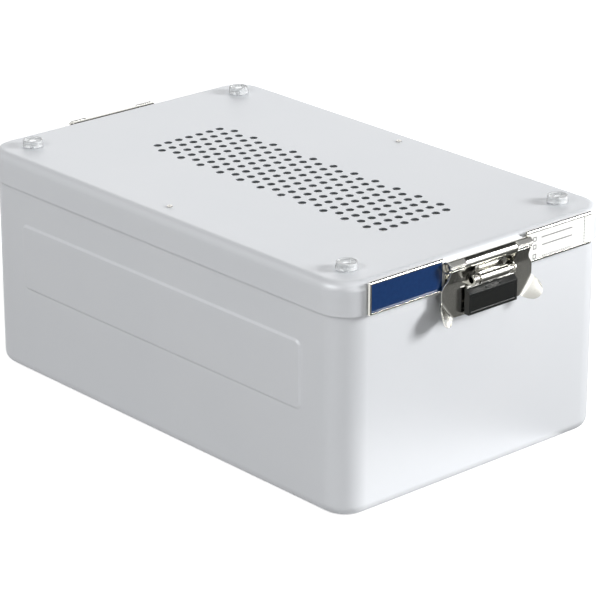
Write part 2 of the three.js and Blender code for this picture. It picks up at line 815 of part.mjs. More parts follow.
const container = new THREE.Group();
container.add(piece('base_pan', panBody(), aluminium));
container.add(piece('lid_shell', lidBody(), aluminium));
container.add(piece('lid_gasket', gasketRing(), silicone));
footPlaces.forEach(([x, y], index) => {
  container.add(piece(`stacking_foot_${index + 1}`, stackingFoot(x, y), clearPlastic));
  container.add(piece(`foot_rivet_${index + 1}`, footRivet(x, y), aluminium));
});
studPlaces.forEach(([x, y], index) => {
  container.add(piece(`retainer_stud_${index + 1}`, retainerStud(x, y), stainless));
  container.add(piece(`retainer_clip_${index + 1}`, retainerClip(x, y), stainless));
});
container.add(piece('filter_sheet', filterLayer(), filterPaper));
container.add(piece('filter_retainer', retainerTray(), stainless));

container.add(piece('left_label_frame', leftFrame(), stainless));
container.add(piece('right_label_frame', labelFrame(frameInner, rightEnd), stainless));
const colourPlate = inChannel(colourPlateSheet, leftEnd + frameSheet + fit, -frameInner - fit);
container.add(piece('colour_plate', colourPlate, bluePlate));
const card = inChannel(cardSheet, frameInner + fit, rightEnd + cardTab);
container.add(piece('label_card', card, whiteCard));

const front = latch('front');
front.position.set(pivotX, 0, pivotZ);
const rear = latch('rear');
rear.position.set(-pivotX, 0, pivotZ);
rear.rotation.z = Math.PI;
container.add(front, rear);

export default container;
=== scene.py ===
"""Sterilization container: a drawn aluminium pan and its perforated lift-off lid.
Two stainless latches hold the lid, each with a hinged flap, a black lock block and a sliding bolt.
Shapes are drawn in millimetres and brought to metres as each piece is finished."""

import math

import bmesh
import bpy
from mathutils import Matrix, Vector


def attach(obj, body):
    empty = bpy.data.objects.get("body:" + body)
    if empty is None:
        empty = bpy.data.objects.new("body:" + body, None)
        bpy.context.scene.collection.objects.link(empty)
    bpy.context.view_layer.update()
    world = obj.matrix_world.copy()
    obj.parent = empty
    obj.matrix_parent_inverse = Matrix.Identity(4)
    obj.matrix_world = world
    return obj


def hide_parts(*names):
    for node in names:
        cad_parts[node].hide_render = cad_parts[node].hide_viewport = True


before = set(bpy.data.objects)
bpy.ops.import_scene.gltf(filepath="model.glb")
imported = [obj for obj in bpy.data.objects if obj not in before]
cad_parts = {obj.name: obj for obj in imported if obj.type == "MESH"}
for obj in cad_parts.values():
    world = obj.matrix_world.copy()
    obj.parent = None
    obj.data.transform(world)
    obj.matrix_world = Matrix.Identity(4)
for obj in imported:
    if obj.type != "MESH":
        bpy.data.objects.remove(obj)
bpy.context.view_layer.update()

# Pan
# The lower half is drawn from 2 mm aluminium sheet with rounded corners and a rounded lower edge.
# A long panel is pressed outwards in each side to stiffen it. The surface is blasted and anodised.

PAN_LENGTH = 464
PAN_WIDTH = 294
PAN_RIM = 188.4
PAN_CORNER = 25
PAN_EDGE = 10
PAN_SHEET = 2
PANEL_LENGTH = 366
PANEL_HEIGHT = 61
PANEL_MIDDLE = 111
PANEL_CORNER = 7
# The panel's slope, as steps of (inwards, outwards) that round it at both ends.
PANEL_SLOPE = ((0.5, 0.12), (0.5, 0.3), (1.0, 0.66), (0.5, 0.3), (0.5, 0.12))
SHARP = math.radians(35)
BROKEN = math.radians(40)


def linear(code):
    """The linear colour of an sRGB hex code."""
    parts = [int(code[at:at + 2], 16) / 255 for at in (0, 2, 4)]
    return [*(p / 12.92 if p <= 0.04045 else ((p + 0.055) / 1.055) ** 2.4 for p in parts), 1]


def add(material, kind, inputs=None, **settings):
    """Adds a node to a material. Its inputs take a value, or the output socket that they are linked to."""
    tree = material.node_tree
    made = tree.nodes.new(kind)
    for key, value in settings.items():
        setattr(made, key, value)
    for key, value in (inputs or {}).items():
        if isinstance(value, bpy.types.NodeSocket):
            tree.links.new(value, made.inputs[key])
        else:
            made.inputs[key].default_value = value
    return made


def surface(name, colour, roughness, metallic=0.0):
    """A new material with its shader's plain values, and that shader."""
    material = bpy.data.materials.new(name)
    material.use_nodes = True
    shader = material.node_tree.nodes["Principled BSDF"]
    shader.inputs["Base Color"].default_value = linear(colour)
    shader.inputs["Roughness"].default_value = roughness
    shader.inputs["Metallic"].default_value = metallic
    return material, shader


def points(geom):
    """The points among the results of a mesh operator."""
    return [part for part in geom if isinstance(part, bmesh.types.BMVert)]


def rounded(bm, length, width, radius, segments, place):
    """A flat face with rounded corners, drawn around the origin and moved by a matrix."""
    corners = bmesh.ops.create_grid(bm, x_segments=1, y_segments=1, size=0.5)["verts"]
    bmesh.ops.scale(bm, vec=(length, width, 1), verts=corners)
    known = set(bm.verts) - set(corners)
    bmesh.ops.bevel(
        bm, geom=corners, offset=radius, segments=segments, profile=0.5, affect="VERTICES", material=-1)
    made = [v for v in bm.verts if v not in known]
    bmesh.ops.transform(bm, matrix=place, verts=made)
    return made[0].link_faces[0]


def finish(bm, name, body, material, nodes, wall=0.0, side=-1.0, edge=0.0, steps=2):
    """Makes a piece from a mesh in millimetres. It rides on a body and stands for its CAD nodes."""
    bmesh.ops.scale(bm, vec=(0.001, 0.001, 0.001), verts=bm.verts)
    for face in bm.faces:
        face.smooth = True
    if not edge:
        for line in bm.edges:
            line.smooth = len(line.link_faces) != 2 or line.calc_face_angle() < SHARP
    mesh = bpy.data.meshes.new(name)
    bm.to_mesh(mesh)
    bm.free()
    mesh.materials.append(material)
    made = bpy.data.objects.new(name, mesh)
    bpy.context.scene.collection.objects.link(made)
    if wall:
        sheet = made.modifiers.new("sheet", "SOLIDIFY")
        sheet.thickness = wall / 1000
        sheet.offset = side
        sheet.use_even_offset = True
    if edge:
        broken = made.modifiers.new("broken edges", "BEVEL")
        broken.width = edge / 1000
        broken.segments = steps
        broken.limit_method = "ANGLE"
        broken.angle_limit = BROKEN
    flats = made.modifiers.new("flat faces", "WEIGHTED_NORMAL")
    flats.keep_sharp = True
    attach(made, body)
    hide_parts(*nodes)
    return made


# Anodised aluminium after blasting: a pale, even satin with a very fine grain.
# Its oxide film scatters most of the light like paint, so it is far from a full metal.
# The real grain is 0.1 mm. It is drawn at about 1 mm, or no pixel would hold it.
anodised, shader = surface("satin_anodised_aluminium", "E2E5E8", 0.45, 0.2)
place = add(anodised, "ShaderNodeTexCoord")
grain = add(anodised, "ShaderNodeTexNoise", {"Vector": place.outputs["Object"], "Scale": 900.0, "Detail": 2.0})
cloud = add(anodised, "ShaderNodeTexNoise", {"Vector": place.outputs["Object"], "Scale": 9.0, "Detail": 3.0})
sheen = add(anodised, "ShaderNodeMapRange", {"Value": grain.outputs["Fac"], "To Min": 0.42, "To Max": 0.5})
tint = add(anodised, "ShaderNodeMix", {
    "Factor": cloud.outputs["Fac"], "A": linear("E0E3E7"), "B": linear("E6E8EB")}, data_type="RGBA")
relief = add(anodised, "ShaderNodeBump", {"Height": grain.outputs["Fac"], "Strength": 0.06, "Distance": 0.0002})
anodised.node_tree.links.new(tint.outputs[2], shader.inputs["Base Color"])
anodised.node_tree.links.new(sheen.outputs["Result"], shader.inputs["Roughness"])
anodised.node_tree.links.new(relief.outputs["Normal"], shader.inputs["Normal"])

pan = bmesh.new()
bottom = rounded(pan, PAN_LENGTH, PAN_WIDTH, PAN_CORNER, 12, Matrix.Identity(4))
walls = bmesh.ops.extrude_edge_only(pan, edges=bottom.edges[:])["geom"]
bmesh.ops.translate(pan, vec=(0, 0, PAN_RIM), verts=points(walls))
bmesh.ops.bevel(
    pan, geom=[e for e in pan.edges if all(v.co.z == 0 for v in e.verts)],
    offset=PAN_EDGE, segments=7, profile=0.5, affect="EDGES", material=-1)
for side in (-1, 1):
    middle = Vector((0, side * PAN_WIDTH / 2, PAN_RIM / 2))
    wall = min(pan.faces, key=lambda f: (f.calc_center_median() - middle).length)
    around = wall.edges[:]
    bmesh.ops.delete(pan, geom=[wall], context="FACES_ONLY")
    upright = Matrix.Translation((0, side * PAN_WIDTH / 2, PANEL_MIDDLE)) @ Matrix.Rotation(
        side * -math.pi / 2, 4, "X")
    panel = rounded(pan, PANEL_LENGTH, PANEL_HEIGHT, PANEL_CORNER, 6, upright)
    bmesh.ops.triangle_fill(pan, use_beauty=True, edges=around + panel.edges[:])
    bmesh.ops.recalc_face_normals(pan, faces=pan.faces)
    for inwards, outwards in PANEL_SLOPE:
        bmesh.ops.inset_region(pan, faces=[panel], thickness=inwards, depth=outwards, use_even_offset=True)
finish(pan, "pan", "base", anodised, ["base_pan"], wall=PAN_SHEET, edge=0.4)

# Lid shell
# The lid is drawn from the same sheet, with a rounded edge and a skirt that slips over the pan.
# Its top is punched with 172 holes, and the punch leaves a small round at each rim.

LID_LENGTH = 470
LID_WIDTH = 300
LID_TOP = 200
LID_SKIRT = 28
LID_CORNER = 28
LID_EDGE = 8
LID_SHEET = 2
HOLE_LINES = 23
SHORT_LINE = 7
HOLE_RADIUS = 3.5
LINE_PITCH = 13.1
HOLE_PITCH = 11.8
FIELD_MIDDLE = 12


def punch(bm, face, holes):
    """Cuts round holes in a flat face. Each hole is a matrix, a radius and a number of segments."""
    around = face.edges[:]
    bmesh.ops.delete(bm, geom=[face], context="FACES_ONLY")
    for at, radius, segments in holes:
        ring = bmesh.ops.create_circle(bm, cap_ends=False, segments=segments, radius=radius, matrix=at)["verts"]
        around += {e for v in ring for e in v.link_edges}
    bmesh.ops.triangle_fill(bm, use_beauty=True, edges=around)


lid = bmesh.new()
top = rounded(lid, LID_LENGTH, LID_WIDTH, LID_CORNER, 14, Matrix.Translation((0, 0, LID_TOP)))
skirt = bmesh.ops.extrude_edge_only(lid, edges=top.edges[:])["geom"]
bmesh.ops.translate(lid, vec=(0, 0, -LID_SKIRT), verts=points(skirt))
bmesh.ops.bevel(
    lid, geom=[e for e in lid.edges if all(v.co.z == LID_TOP for v in e.verts)],
    offset=LID_EDGE, segments=8, profile=0.5, affect="EDGES", material=-1)
field = []
for line in range(HOLE_LINES):
    count = SHORT_LINE + line % 2
    x = FIELD_MIDDLE + (line - (HOLE_LINES - 1) / 2) * LINE_PITCH
    for hole in range(count):
        at = Matrix.Translation((x, (hole - (count - 1) / 2) * HOLE_PITCH, LID_TOP))
        field.append((at, HOLE_RADIUS, 20))
punch(lid, max(lid.faces, key=lambda f: f.calc_area() if f.normal.z > 0.9 else 0), field)
bmesh.ops.recalc_face_normals(lid, faces=lid.faces)
if sum(f.normal.z for f in lid.faces) < 0:
    bmesh.ops.reverse_faces(lid, faces=lid.faces)
shell = finish(lid, "lid", "lid", anodised, ["lid_shell"], wall=LID_SHEET, edge=0.3)

# Sheared aluminium inside the holes: rough from the punch, and painted a dark grey for the shade that falls inside
# the holes.
# The real tears are 0.1 mm. They are drawn at about 0.7 mm.
sheared, shader = surface("sheared_edge_painted_shade", "63676B", 0.6, 0.5)
place = add(sheared, "ShaderNodeTexCoord")
tear = add(sheared, "ShaderNodeTexNoise", {"Vector": place.outputs["Object"], "Scale": 1500.0, "Detail": 2.0})
relief = add(sheared, "ShaderNodeBump", {"Height": tear.outputs["Fac"], "Strength": 0.3, "Distance": 0.0002})
sheared.node_tree.links.new(relief.outputs["Normal"], shader.inputs["Normal"])
# The holes' walls, which are the sheet's rim faces, take this painted shade.
shell.data.materials.append(sheared)
shell.modifiers["sheet"].material_offset_rim = 1

# Lid gasket
# A soft silicone ring fills the lid's rim and seals on the pan's edge.
# It is moulded in one piece and held in the lid by its own squeeze.

GASKET_LENGTH = LID_LENGTH - 4.6
GASKET_ACROSS = LID_WIDTH - 4.6
GASKET_CORNER = 25.7
GASKET_WIDTH = 11
GASKET_HEIGHT = 9
GASKET_TOP = 197.7
GASKET_ROUND = 6

# Moulded silicone: slightly see-through grey with a soft skin and hardly any shine.
# The skin's unevenness is drawn at its real 2 to 3 mm.
silicone, shader = surface("moulded_grey_silicone", "B9C3C6", 0.55)
shader.inputs["Subsurface Weight"].default_value = 0.15
shader.inputs["Subsurface Radius"].default_value = (0.002, 0.002, 0.002)
place = add(silicone, "ShaderNodeTexCoord")
skin = add(silicone, "ShaderNodeTexNoise", {"Vector": place.outputs["Object"], "Scale": 400.0, "Detail": 2.0})
relief = add(silicone, "ShaderNodeBump", {"Height": skin.outputs["Fac"], "Strength": 0.1, "Distance": 0.0003})
silicone.node_tree.links.new(relief.outputs["Normal"], shader.inputs["Normal"])

gasket = bmesh.new()
disc = rounded(
    gasket, GASKET_LENGTH, GASKET_ACROSS, GASKET_CORNER, 12,
    Matrix.Translation((0, 0, GASKET_TOP - GASKET_HEIGHT)))
bmesh.ops.inset_region(gasket, faces=[disc], thickness=GASKET_WIDTH, use_boundary=True, use_even_offset=True)
bmesh.ops.delete(gasket, geom=[disc], context="FACES_ONLY")
raised = bmesh.ops.extrude_face_region(gasket, geom=gasket.faces[:])["geom"]
bmesh.ops.translate(gasket, vec=(0, 0, GASKET_HEIGHT), verts=points(raised))
bmesh.ops.recalc_face_normals(gasket, faces=gasket.faces)
inner_x = GASKET_LENGTH / 2 - GASKET_WIDTH
inner_y = GASKET_ACROSS / 2 - GASKET_WIDTH
outer = [e for e in gasket.edges if all(
    v.co.z > GASKET_TOP - 1 and max(abs(v.co.x) - inner_x, abs(v.co.y) - inner_y) > 0 for v in e.verts)]
bmesh.ops.bevel(
    gasket, geom=[e for e in outer if len(e.link_faces) == 2 and e.calc_face_angle() > 1],
    offset=GASKET_ROUND, segments=4, profile=0.5, affect="EDGES", material=-1)
finish(gasket, "gasket", "lid", silicone, ["lid_gasket"], edge=1.0, steps=3)

# Stacking feet
# Four clear moulded feet keep stacked containers apart, each with a dished top.
# An aluminium rivet in the dish holds each foot to the lid.

FOOT_BOTTOM = 200.3
FEET = [(203, -118), (203, 118), (-203, -118), (-203, 118)]
# Half sections, as (radius, height) above the foot's bottom.
FOOT_OUTLINE = [
    (1.8, 0), (8.4, 0), (8.9, 0.3), (9, 0.7), (9, 2.5), (8.75, 2.8), (8.75, 5.2), (8.6, 5.75), (8.2, 6),
    (7.7, 5.95), (7.3, 5.6), (7, 5.1), (6, 4.75), (3.4, 4.6), (3.4, 4), (1.8, 4), (1.8, 0)]
FOOT_RIVET_OUTLINE = [
    (0, -3.7), (2.6, -3.7), (3, -3.3), (3, -2.6), (1.5, -2.6), (1.5, 4.3), (3, 4.3), (3, 4.5), (2.6, 4.7),
    (1.4, 4.8), (0, 4.8)]

# Moulded clear plastic: glossy and slightly milky, with painted shade that darkens its flanks where the light
# leaves it sideways.
# The flow of the melt shows as a faint haze about 11 mm wide, its real size.
clear, shader = surface("moulded_clear_plastic", "F2F4F6", 0.08)
shader.inputs["IOR"].default_value = 1.49
shader.inputs["Transmission Weight"].default_value = 0.55
place = add(clear, "ShaderNodeTexCoord")
flow = add(clear, "ShaderNodeTexNoise", {"Vector": place.outputs["Object"], "Scale": 90.0, "Detail": 1.0})
haze = add(clear, "ShaderNodeMapRange", {"Value": flow.outputs["Fac"], "To Min": 0.05, "To Max": 0.14})
# Painted shade: the colour darkens from the faces that look at the view towards the flanks that turn away from it.
flank_shade = add(clear, "ShaderNodeLayerWeight", {"Blend": 0.45})
depth = add(clear, "ShaderNodeMapRange", {"Value": flank_shade.outputs["Facing"], "From Min": 0.55, "From Max": 1.0})
tint = add(clear, "ShaderNodeMix", {
    "Factor": depth.outputs["Result"], "A": linear("F4F6F7"), "B": linear("5A5E62")}, data_type="RGBA")
clear.node_tree.links.new(tint.outputs[2], shader.inputs["Base Color"])
clear.node_tree.links.new(haze.outputs["Result"], shader.inputs["Roughness"])

# Bright aluminium, pressed to a rivet head: a plain light metal with a soft shine.
# The press leaves 0.3 mm marks. They are drawn at about 2 mm.
rivet_metal, shader = surface("pressed_bright_aluminium", "D9DBDD", 0.28, 1.0)
place = add(rivet_metal, "ShaderNodeTexCoord")
press = add(rivet_metal, "ShaderNodeTexNoise", {"Vector": place.outputs["Object"], "Scale": 500.0, "Detail": 2.0})
sheen = add(rivet_metal, "ShaderNodeMapRange", {"Value": press.outputs["Fac"], "To Min": 0.22, "To Max": 0.36})
rivet_metal.node_tree.links.new(sheen.outputs["Result"], shader.inputs["Roughness"])


def turned(bm, outline, steps, at):
    """A round piece turned from an outline of (radius, height), then moved by a matrix."""
    made = [bm.verts.new((radius, 0, height)) for radius, height in outline]
    edges = [bm.edges.new(pair) for pair in zip(made, made[1:])]
    known = set(bm.verts) - set(made)
    bmesh.ops.spin(
        bm, geom=made + edges, cent=(0, 0, 0), axis=(0, 0, 1), angle=2 * math.pi, steps=steps, use_merge=True)
    fresh = [v for v in bm.verts if v not in known]
    bmesh.ops.remove_doubles(bm, verts=fresh, dist=0.001)
    fresh = [v for v in bm.verts if v not in known]
    bmesh.ops.recalc_face_normals(bm, faces=list({f for v in fresh for f in v.link_faces}))
    bmesh.ops.transform(bm, matrix=at, verts=fresh)


for index, (x, y) in enumerate(FEET, 1):
    at = Matrix.Translation((x, y, FOOT_BOTTOM))
    foot = bmesh.new()
    turned(foot, FOOT_OUTLINE, 40, at)
    finish(foot, f"stacking_foot_clear_{index}", "lid", clear, [f"stacking_foot_{index}"])
    rivet = bmesh.new()
    turned(rivet, FOOT_RIVET_OUTLINE, 28, at)
    finish(rivet, f"stacking_foot_pin_{index}", "lid", rivet_metal, [f"foot_rivet_{index}"])

# Retainer studs and clips
# Two turned stainless studs hang from the lid, and a clip on each holds the retainer up.
# Only the studs' low heads show on the lid's top.

STUDS = [(0, -129.5), (0, 129.5)]
STUD_RADIUS = 1.8
CLIP_BORE = 2.1
STUD_OUTLINE = [
    (0, 184), (1.4, 184), (STUD_RADIUS, 184.4), (STUD_RADIUS, 200.3), (2.5, 200.3), (2.5, 200.8), (2.1, 201.15),
    (1.2, 201.2), (0.9, 200.95), (0, 200.9)]
CLIP_OUTLINE = [
    (CLIP_BORE, 186.5), (5.4, 186.5), (6, 187.1), (6, 188.2), (5.7, 188.5), (6, 188.8), (6, 189.9), (5.4, 190.5),
    (CLIP_BORE, 190.5), (CLIP_BORE, 186.5)]

# Turned stainless steel: bright, with fine rings from the tool that blur its reflections.
# The real rings are 0.05 mm apart. They are drawn as an uneven shine of about 1 mm.
turned_steel, shader = surface("turned_stainless_steel", "C9C7C2", 0.22, 1.0)
place = add(turned_steel, "ShaderNodeTexCoord")
lathe = add(turned_steel, "ShaderNodeTexNoise", {"Vector": place.outputs["Object"], "Scale": 800.0, "Detail": 2.0})
sheen = add(turned_steel, "ShaderNodeMapRange", {"Value": lathe.outputs["Fac"], "To Min": 0.16, "To Max": 0.3})
turned_steel.node_tree.links.new(sheen.outputs["Result"], shader.inputs["Roughness"])

for index, (x, y) in enumerate(STUDS, 1):
    at = Matrix.Translation((x, y, 0))
    stud = bmesh.new()
    turned(stud, STUD_OUTLINE, 28, at)
    finish(stud, f"retainer_pin_{index}", "lid", turned_steel, [f"retainer_stud_{index}"])
    clip = bmesh.new()
    turned(clip, CLIP_OUTLINE, 36, at)
    finish(clip, f"retainer_catch_{index}", "filter_retainer", turned_steel,
           [f"retainer_clip_{index}"])

# Filter sheet
# A pad of non-woven filter paper lies under the punched field, and lets steam in but no germs.
# It is cut to size and punched for the two studs.

PAPER_LENGTH = 336
PAPER_WIDTH = 263
PAPER_HEIGHT = 197.7
PAPER_SHEET = 0.6

# Non-woven filter paper: white and dull, with a felt of fibres and soft thicker spots.
# The fibres are 0.02 mm. The felt that they make is drawn at about 3 mm.
felt, shader = surface("non_woven_filter_paper", "F0F1EC", 0.95)
place = add(felt, "ShaderNodeTexCoord")
fibres = add(felt, "ShaderNodeTexNoise", {
    "Vector": place.outputs["Object"], "Scale": 350.0, "Detail": 6.0, "Roughness": 0.7, "Distortion": 1.5})
tint = add(felt, "ShaderNodeMix", {
    "Factor": fibres.outputs["Fac"], "A": linear("DFE0DA"), "B": linear("FAFAF6")}, data_type="RGBA")
relief = add(felt, "ShaderNodeBump", {"Height": fibres.outputs["Fac"], "Strength": 0.5, "Distance": 0.0003})
felt.node_tree.links.new(tint.outputs[2], shader.inputs["Base Color"])
felt.node_tree.links.new(relief.outputs["Normal"], shader.inputs["Normal"])

paper = bmesh.new()
pad = rounded(paper, PAPER_LENGTH, PAPER_WIDTH, 12, 6, Matrix.Translation((0, 0, PAPER_HEIGHT)))
punch(paper, pad, [(Matrix.Translation((x, y, PAPER_HEIGHT)), CLIP_BORE, 20) for x, y in STUDS])
for face in paper.faces:
    if face.normal.z < 0:
        face.normal_flip()
finish(paper, "filter_paper", "filter_retainer", felt, ["filter_sheet"], wall=PAPER_SHEET, edge=0.1)

# Filter retainer
# A shallow tray pressed from 1 mm stainless sheet holds the filter up against the lid.
# Wide round vents in its floor let the steam through, and the studs pass two small holes.

TRAY_LENGTH = 340
TRAY_WIDTH = 267
TRAY_FLOOR = 190.8
TRAY_RIM = 6
TRAY_BEND = 1.5
TRAY_SHEET = 1
VENT_LINES = range(-3, 4)
VENT_ROWS = range(-2, 3)
VENT_RADIUS = 11
VENT_PITCH_X = 44
VENT_PITCH_Y = 47

# Satin stainless steel, ground with a belt: fine straight lines along the tray's length.
# The real lines are 0.1 mm apart. They are drawn about 1 mm apart.
ground_steel, shader = surface("belt_ground_stainless_steel", "BFBEBA", 0.35, 1.0)
place = add(ground_steel, "ShaderNodeTexCoord")
stretched = add(ground_steel, "ShaderNodeMapping", {
    "Vector": place.outputs["Object"], "Scale": (12.0, 900.0, 900.0)})
scratches = add(ground_steel, "ShaderNodeTexNoise", {
    "Vector": stretched.outputs["Vector"], "Scale": 1.0, "Detail": 3.0})
sheen = add(ground_steel, "ShaderNodeMapRange", {
    "Value": scratches.outputs["Fac"], "To Min": 0.28, "To Max": 0.42})
relief = add(ground_steel, "ShaderNodeBump", {
    "Height": scratches.outputs["Fac"], "Strength": 0.1, "Distance": 0.0002})
ground_steel.node_tree.links.new(sheen.outputs["Result"], shader.inputs["Roughness"])
ground_steel.node_tree.links.new(relief.outputs["Normal"], shader.inputs["Normal"])

tray = bmesh.new()
base = rounded(tray, TRAY_LENGTH, TRAY_WIDTH, 12, 8, Matrix.Translation((0, 0, TRAY_FLOOR)))
rim = bmesh.ops.extrude_edge_only(tray, edges=base.edges[:])["geom"]
bmesh.ops.translate(tray, vec=(0, 0, TRAY_RIM), verts=points(rim))
bmesh.ops.bevel(
    tray, geom=[e for e in tray.edges if all(v.co.z < TRAY_FLOOR + 0.2 for v in e.verts)],
    offset=TRAY_BEND, segments=3, profile=0.5, affect="EDGES", material=-1)
vents = [(line * VENT_PITCH_X, row * VENT_PITCH_Y, VENT_RADIUS, 40) for line in VENT_LINES for row in VENT_ROWS]
punch(tray, max(tray.faces, key=lambda f: f.calc_area()), [
    (Matrix.Translation((x, y, TRAY_FLOOR)), radius, segments)
    for x, y, radius, segments in vents + [(x, y, CLIP_BORE, 16) for x, y in STUDS]])
bmesh.ops.recalc_face_normals(tray, faces=tray.faces)
if sum(f.normal.z * f.calc_area() for f in tray.faces) > 0:
    bmesh.ops.reverse_faces(tray, faces=tray.faces)
finish(tray, "filter_tray", "filter_retainer", ground_steel, ["filter_retainer"],
       wall=TRAY_SHEET, edge=0.2)

# Label frames
# Two channels on the front skirt hold the colour plate and the printed card.
# They are folded from 0.8 mm polished stainless sheet and spot-welded. The left one is closed at its outer end.

FRAME_BACK = 235.3
FRAME_FRONT = 238.6
FRAME_SHEET = 0.8
FRAME_LIP = 2.2
FRAME_BEND = 1.2

# Polished stainless steel: a slightly soft mirror with a warm tone and faint wiping marks.
# Marks and waves are 10 to 20 mm long, as on real sheet.
polished, shader = surface("polished_stainless_steel", "C8C7C1", 0.18, 1.0)
place = add(polished, "ShaderNodeTexCoord")
marks = add(polished, "ShaderNodeTexNoise", {"Vector": place.outputs["Object"], "Scale": 60.0, "Detail": 4.0})
sheen = add(polished, "ShaderNodeMapRange", {"Value": marks.outputs["Fac"], "To Min": 0.13, "To Max": 0.26})
waves = add(polished, "ShaderNodeTexNoise", {"Vector": place.outputs["Object"], "Scale": 90.0, "Detail": 1.0})
relief = add(polished, "ShaderNodeBump", {"Height": waves.outputs["Fac"], "Strength": 0.04, "Distance": 0.0005})
polished.node_tree.links.new(sheen.outputs["Result"], shader.inputs["Roughness"])
polished.node_tree.links.new(relief.outputs["Normal"], shader.inputs["Normal"])

for name, node, y0, y1, closed in (
        ("left_label_channel", "left_label_frame", -126.1, -47, True),
        ("right_label_channel", "right_label_frame", 47, 121.5, False)):
    # The back is drawn first. Its edges are then folded out to walls, and the walls inwards to lips.
    bm = bmesh.new()
    half = FRAME_SHEET / 2
    low, high = LID_TOP - LID_SKIRT + half, LID_TOP - half
    back = bm.faces.new([bm.verts.new((FRAME_BACK + half, y, z)) for y, z in (
        (y0, low), (y1, low), (y1, high), (y0, high))])
    folds = [e for e in back.edges if not all(abs(v.co.y - y1) < 0.01 for v in e.verts)]
    if not closed:
        folds = [e for e in folds if not all(abs(v.co.y - y0) < 0.01 for v in e.verts)]
    for step, out in ((0, FRAME_FRONT - FRAME_BACK - FRAME_SHEET), (FRAME_LIP - half, 0)):
        geom = bmesh.ops.extrude_edge_only(bm, edges=folds)["geom"]
        folds = [e for e in geom if isinstance(e, bmesh.types.BMEdge)]
        for vert in points(geom):
            vert.co.x += out
            if step:
                vert.co.z += step if abs(vert.co.z - low) < 0.01 else -step
                if closed and abs(vert.co.y - y0) < 0.01:
                    vert.co.y += step
    bmesh.ops.recalc_face_normals(bm, faces=bm.faces)
    bends = [e for e in bm.edges if len(e.link_faces) == 2 and e.calc_face_angle() > 1]
    bmesh.ops.bevel(bm, geom=bends, offset=FRAME_BEND, segments=6, profile=0.5, affect="EDGES", material=-1)
    finish(bm, name, "lid", polished, [node], wall=FRAME_SHEET, side=0, edge=0.12)

# Colour plate
# A deep-blue plate in the left frame tells one set of containers from another.
# It is aluminium sheet, 0.5 mm thick, stove-painted and pushed in from the latch's side.

INSERT_MIDDLE = 186
INSERT_HEIGHT = 25.8
PLATE_BACK, PLATE_FRONT = 236.45, 236.95
# Turns a face drawn flat so that it looks along X, with its length along Y.
FACING_X = Matrix(((0, 0, 1, 0), (1, 0, 0, 0), (0, 1, 0, 0), (0, 0, 0, 1)))

# Stoved paint: a deep blue gloss over thin aluminium sheet, with a light orange-peel of about 3 mm.
blue, shader = surface("blue_stoved_paint", "123270", 0.14)
place = add(blue, "ShaderNodeTexCoord")
peel = add(blue, "ShaderNodeTexNoise", {"Vector": place.outputs["Object"], "Scale": 300.0, "Detail": 1.0})
tint = add(blue, "ShaderNodeMix", {
    "Factor": peel.outputs["Fac"], "A": linear("10315F"), "B": linear("163A6E")}, data_type="RGBA")
relief = add(blue, "ShaderNodeBump", {"Height": peel.outputs["Fac"], "Strength": 0.12, "Distance": 0.0003})
blue.node_tree.links.new(tint.outputs[2], shader.inputs["Base Color"])
blue.node_tree.links.new(relief.outputs["Normal"], shader.inputs["Normal"])


def insert(front, y0, y1):
    """A thin sheet with rounded corners that looks outwards from a label frame."""
    bm = bmesh.new()
    at = Matrix.Translation((front, (y0 + y1) / 2, INSERT_MIDDLE)) @ FACING_X
    rounded(bm, y1 - y0, INSERT_HEIGHT, 1, 4, at)
    bmesh.ops.recalc_face_normals(bm, faces=bm.faces)
    for face in bm.faces:
        if face.normal.x < 0:
            face.normal_flip()
    return bm


finish(insert(PLATE_FRONT, -125.4, -47.3), "blue_plate", "lid", blue, ["colour_plate"],
       wall=PLATE_FRONT - PLATE_BACK, edge=0.1)

# Printed card
# A card in the right frame names the contents, and slides out of its open end.
# It is 0.25 mm board, printed with rules, a tear line and boxes to tick.

CARD_BACK, CARD_FRONT = 236.7, 236.95

# Printed card: dull white with grey ruled lines, a dotted line, a dashed tear line and small boxes.
# The pulp shows as clouds of about 4 mm, its real size.
card_print, shader = surface("printed_white_card", "F7F7F3", 0.75)
place = add(card_print, "ShaderNodeTexCoord")
axes = add(card_print, "ShaderNodeSeparateXYZ", {"Vector": place.outputs["Object"]})
across, up = axes.outputs["Y"], axes.outputs["Z"]


def within(value, middle, half):
    """1 where a coordinate in metres lies within half of middle, both in millimetres."""
    return add(card_print, "ShaderNodeMath", {
        0: value, 1: middle / 1000, 2: half / 1000}, operation="COMPARE").outputs[0]


def combine(operation, first, second):
    """The sum, difference or product of two masks."""
    return add(card_print, "ShaderNodeMath", {0: first, 1: second}, operation=operation, use_clamp=True).outputs[0]


def area(y, z, half_y, half_z):
    """1 in a rectangle of the card, given by its middle and its half sizes in millimetres."""
    return combine("MULTIPLY", within(across, y, half_y), within(up, z, half_z))


def dashes(value, pace, share):
    """1 on a share of each step along a coordinate in metres, with the step in millimetres."""
    turn = add(card_print, "ShaderNodeMath", {0: value, 1: pace / 1000}, operation="MODULO")
    return add(card_print, "ShaderNodeMath", {
        0: turn.outputs[0], 1: pace * share / 1000}, operation="LESS_THAN").outputs[0]


ink = combine("ADD", area(82.5, 191.1, 18, 0.35), area(83, 184.4, 17.5, 0.35))
ink = combine("ADD", ink, combine("MULTIPLY", area(83, 174.9, 17.5, 0.35), dashes(across, 2.2, 0.5)))
ink = combine("ADD", ink, combine("MULTIPLY", area(115, 185.5, 0.4, 11), dashes(up, 2.6, 0.6)))
for z in (191, 184.3, 176.3):
    ink = combine("ADD", ink, combine("SUBTRACT", area(56.8, z, 1.9, 1.9), area(56.8, z, 1.3, 1.3)))
pulp = add(card_print, "ShaderNodeTexNoise", {"Vector": place.outputs["Object"], "Scale": 250.0, "Detail": 4.0})
stock = add(card_print, "ShaderNodeMix", {
    "Factor": pulp.outputs["Fac"], "A": linear("F3F3EF"), "B": linear("FBFBF8")}, data_type="RGBA")
printed = add(card_print, "ShaderNodeMix", {
    "Factor": ink, "A": stock.outputs[2], "B": linear("3C4043")}, data_type="RGBA")
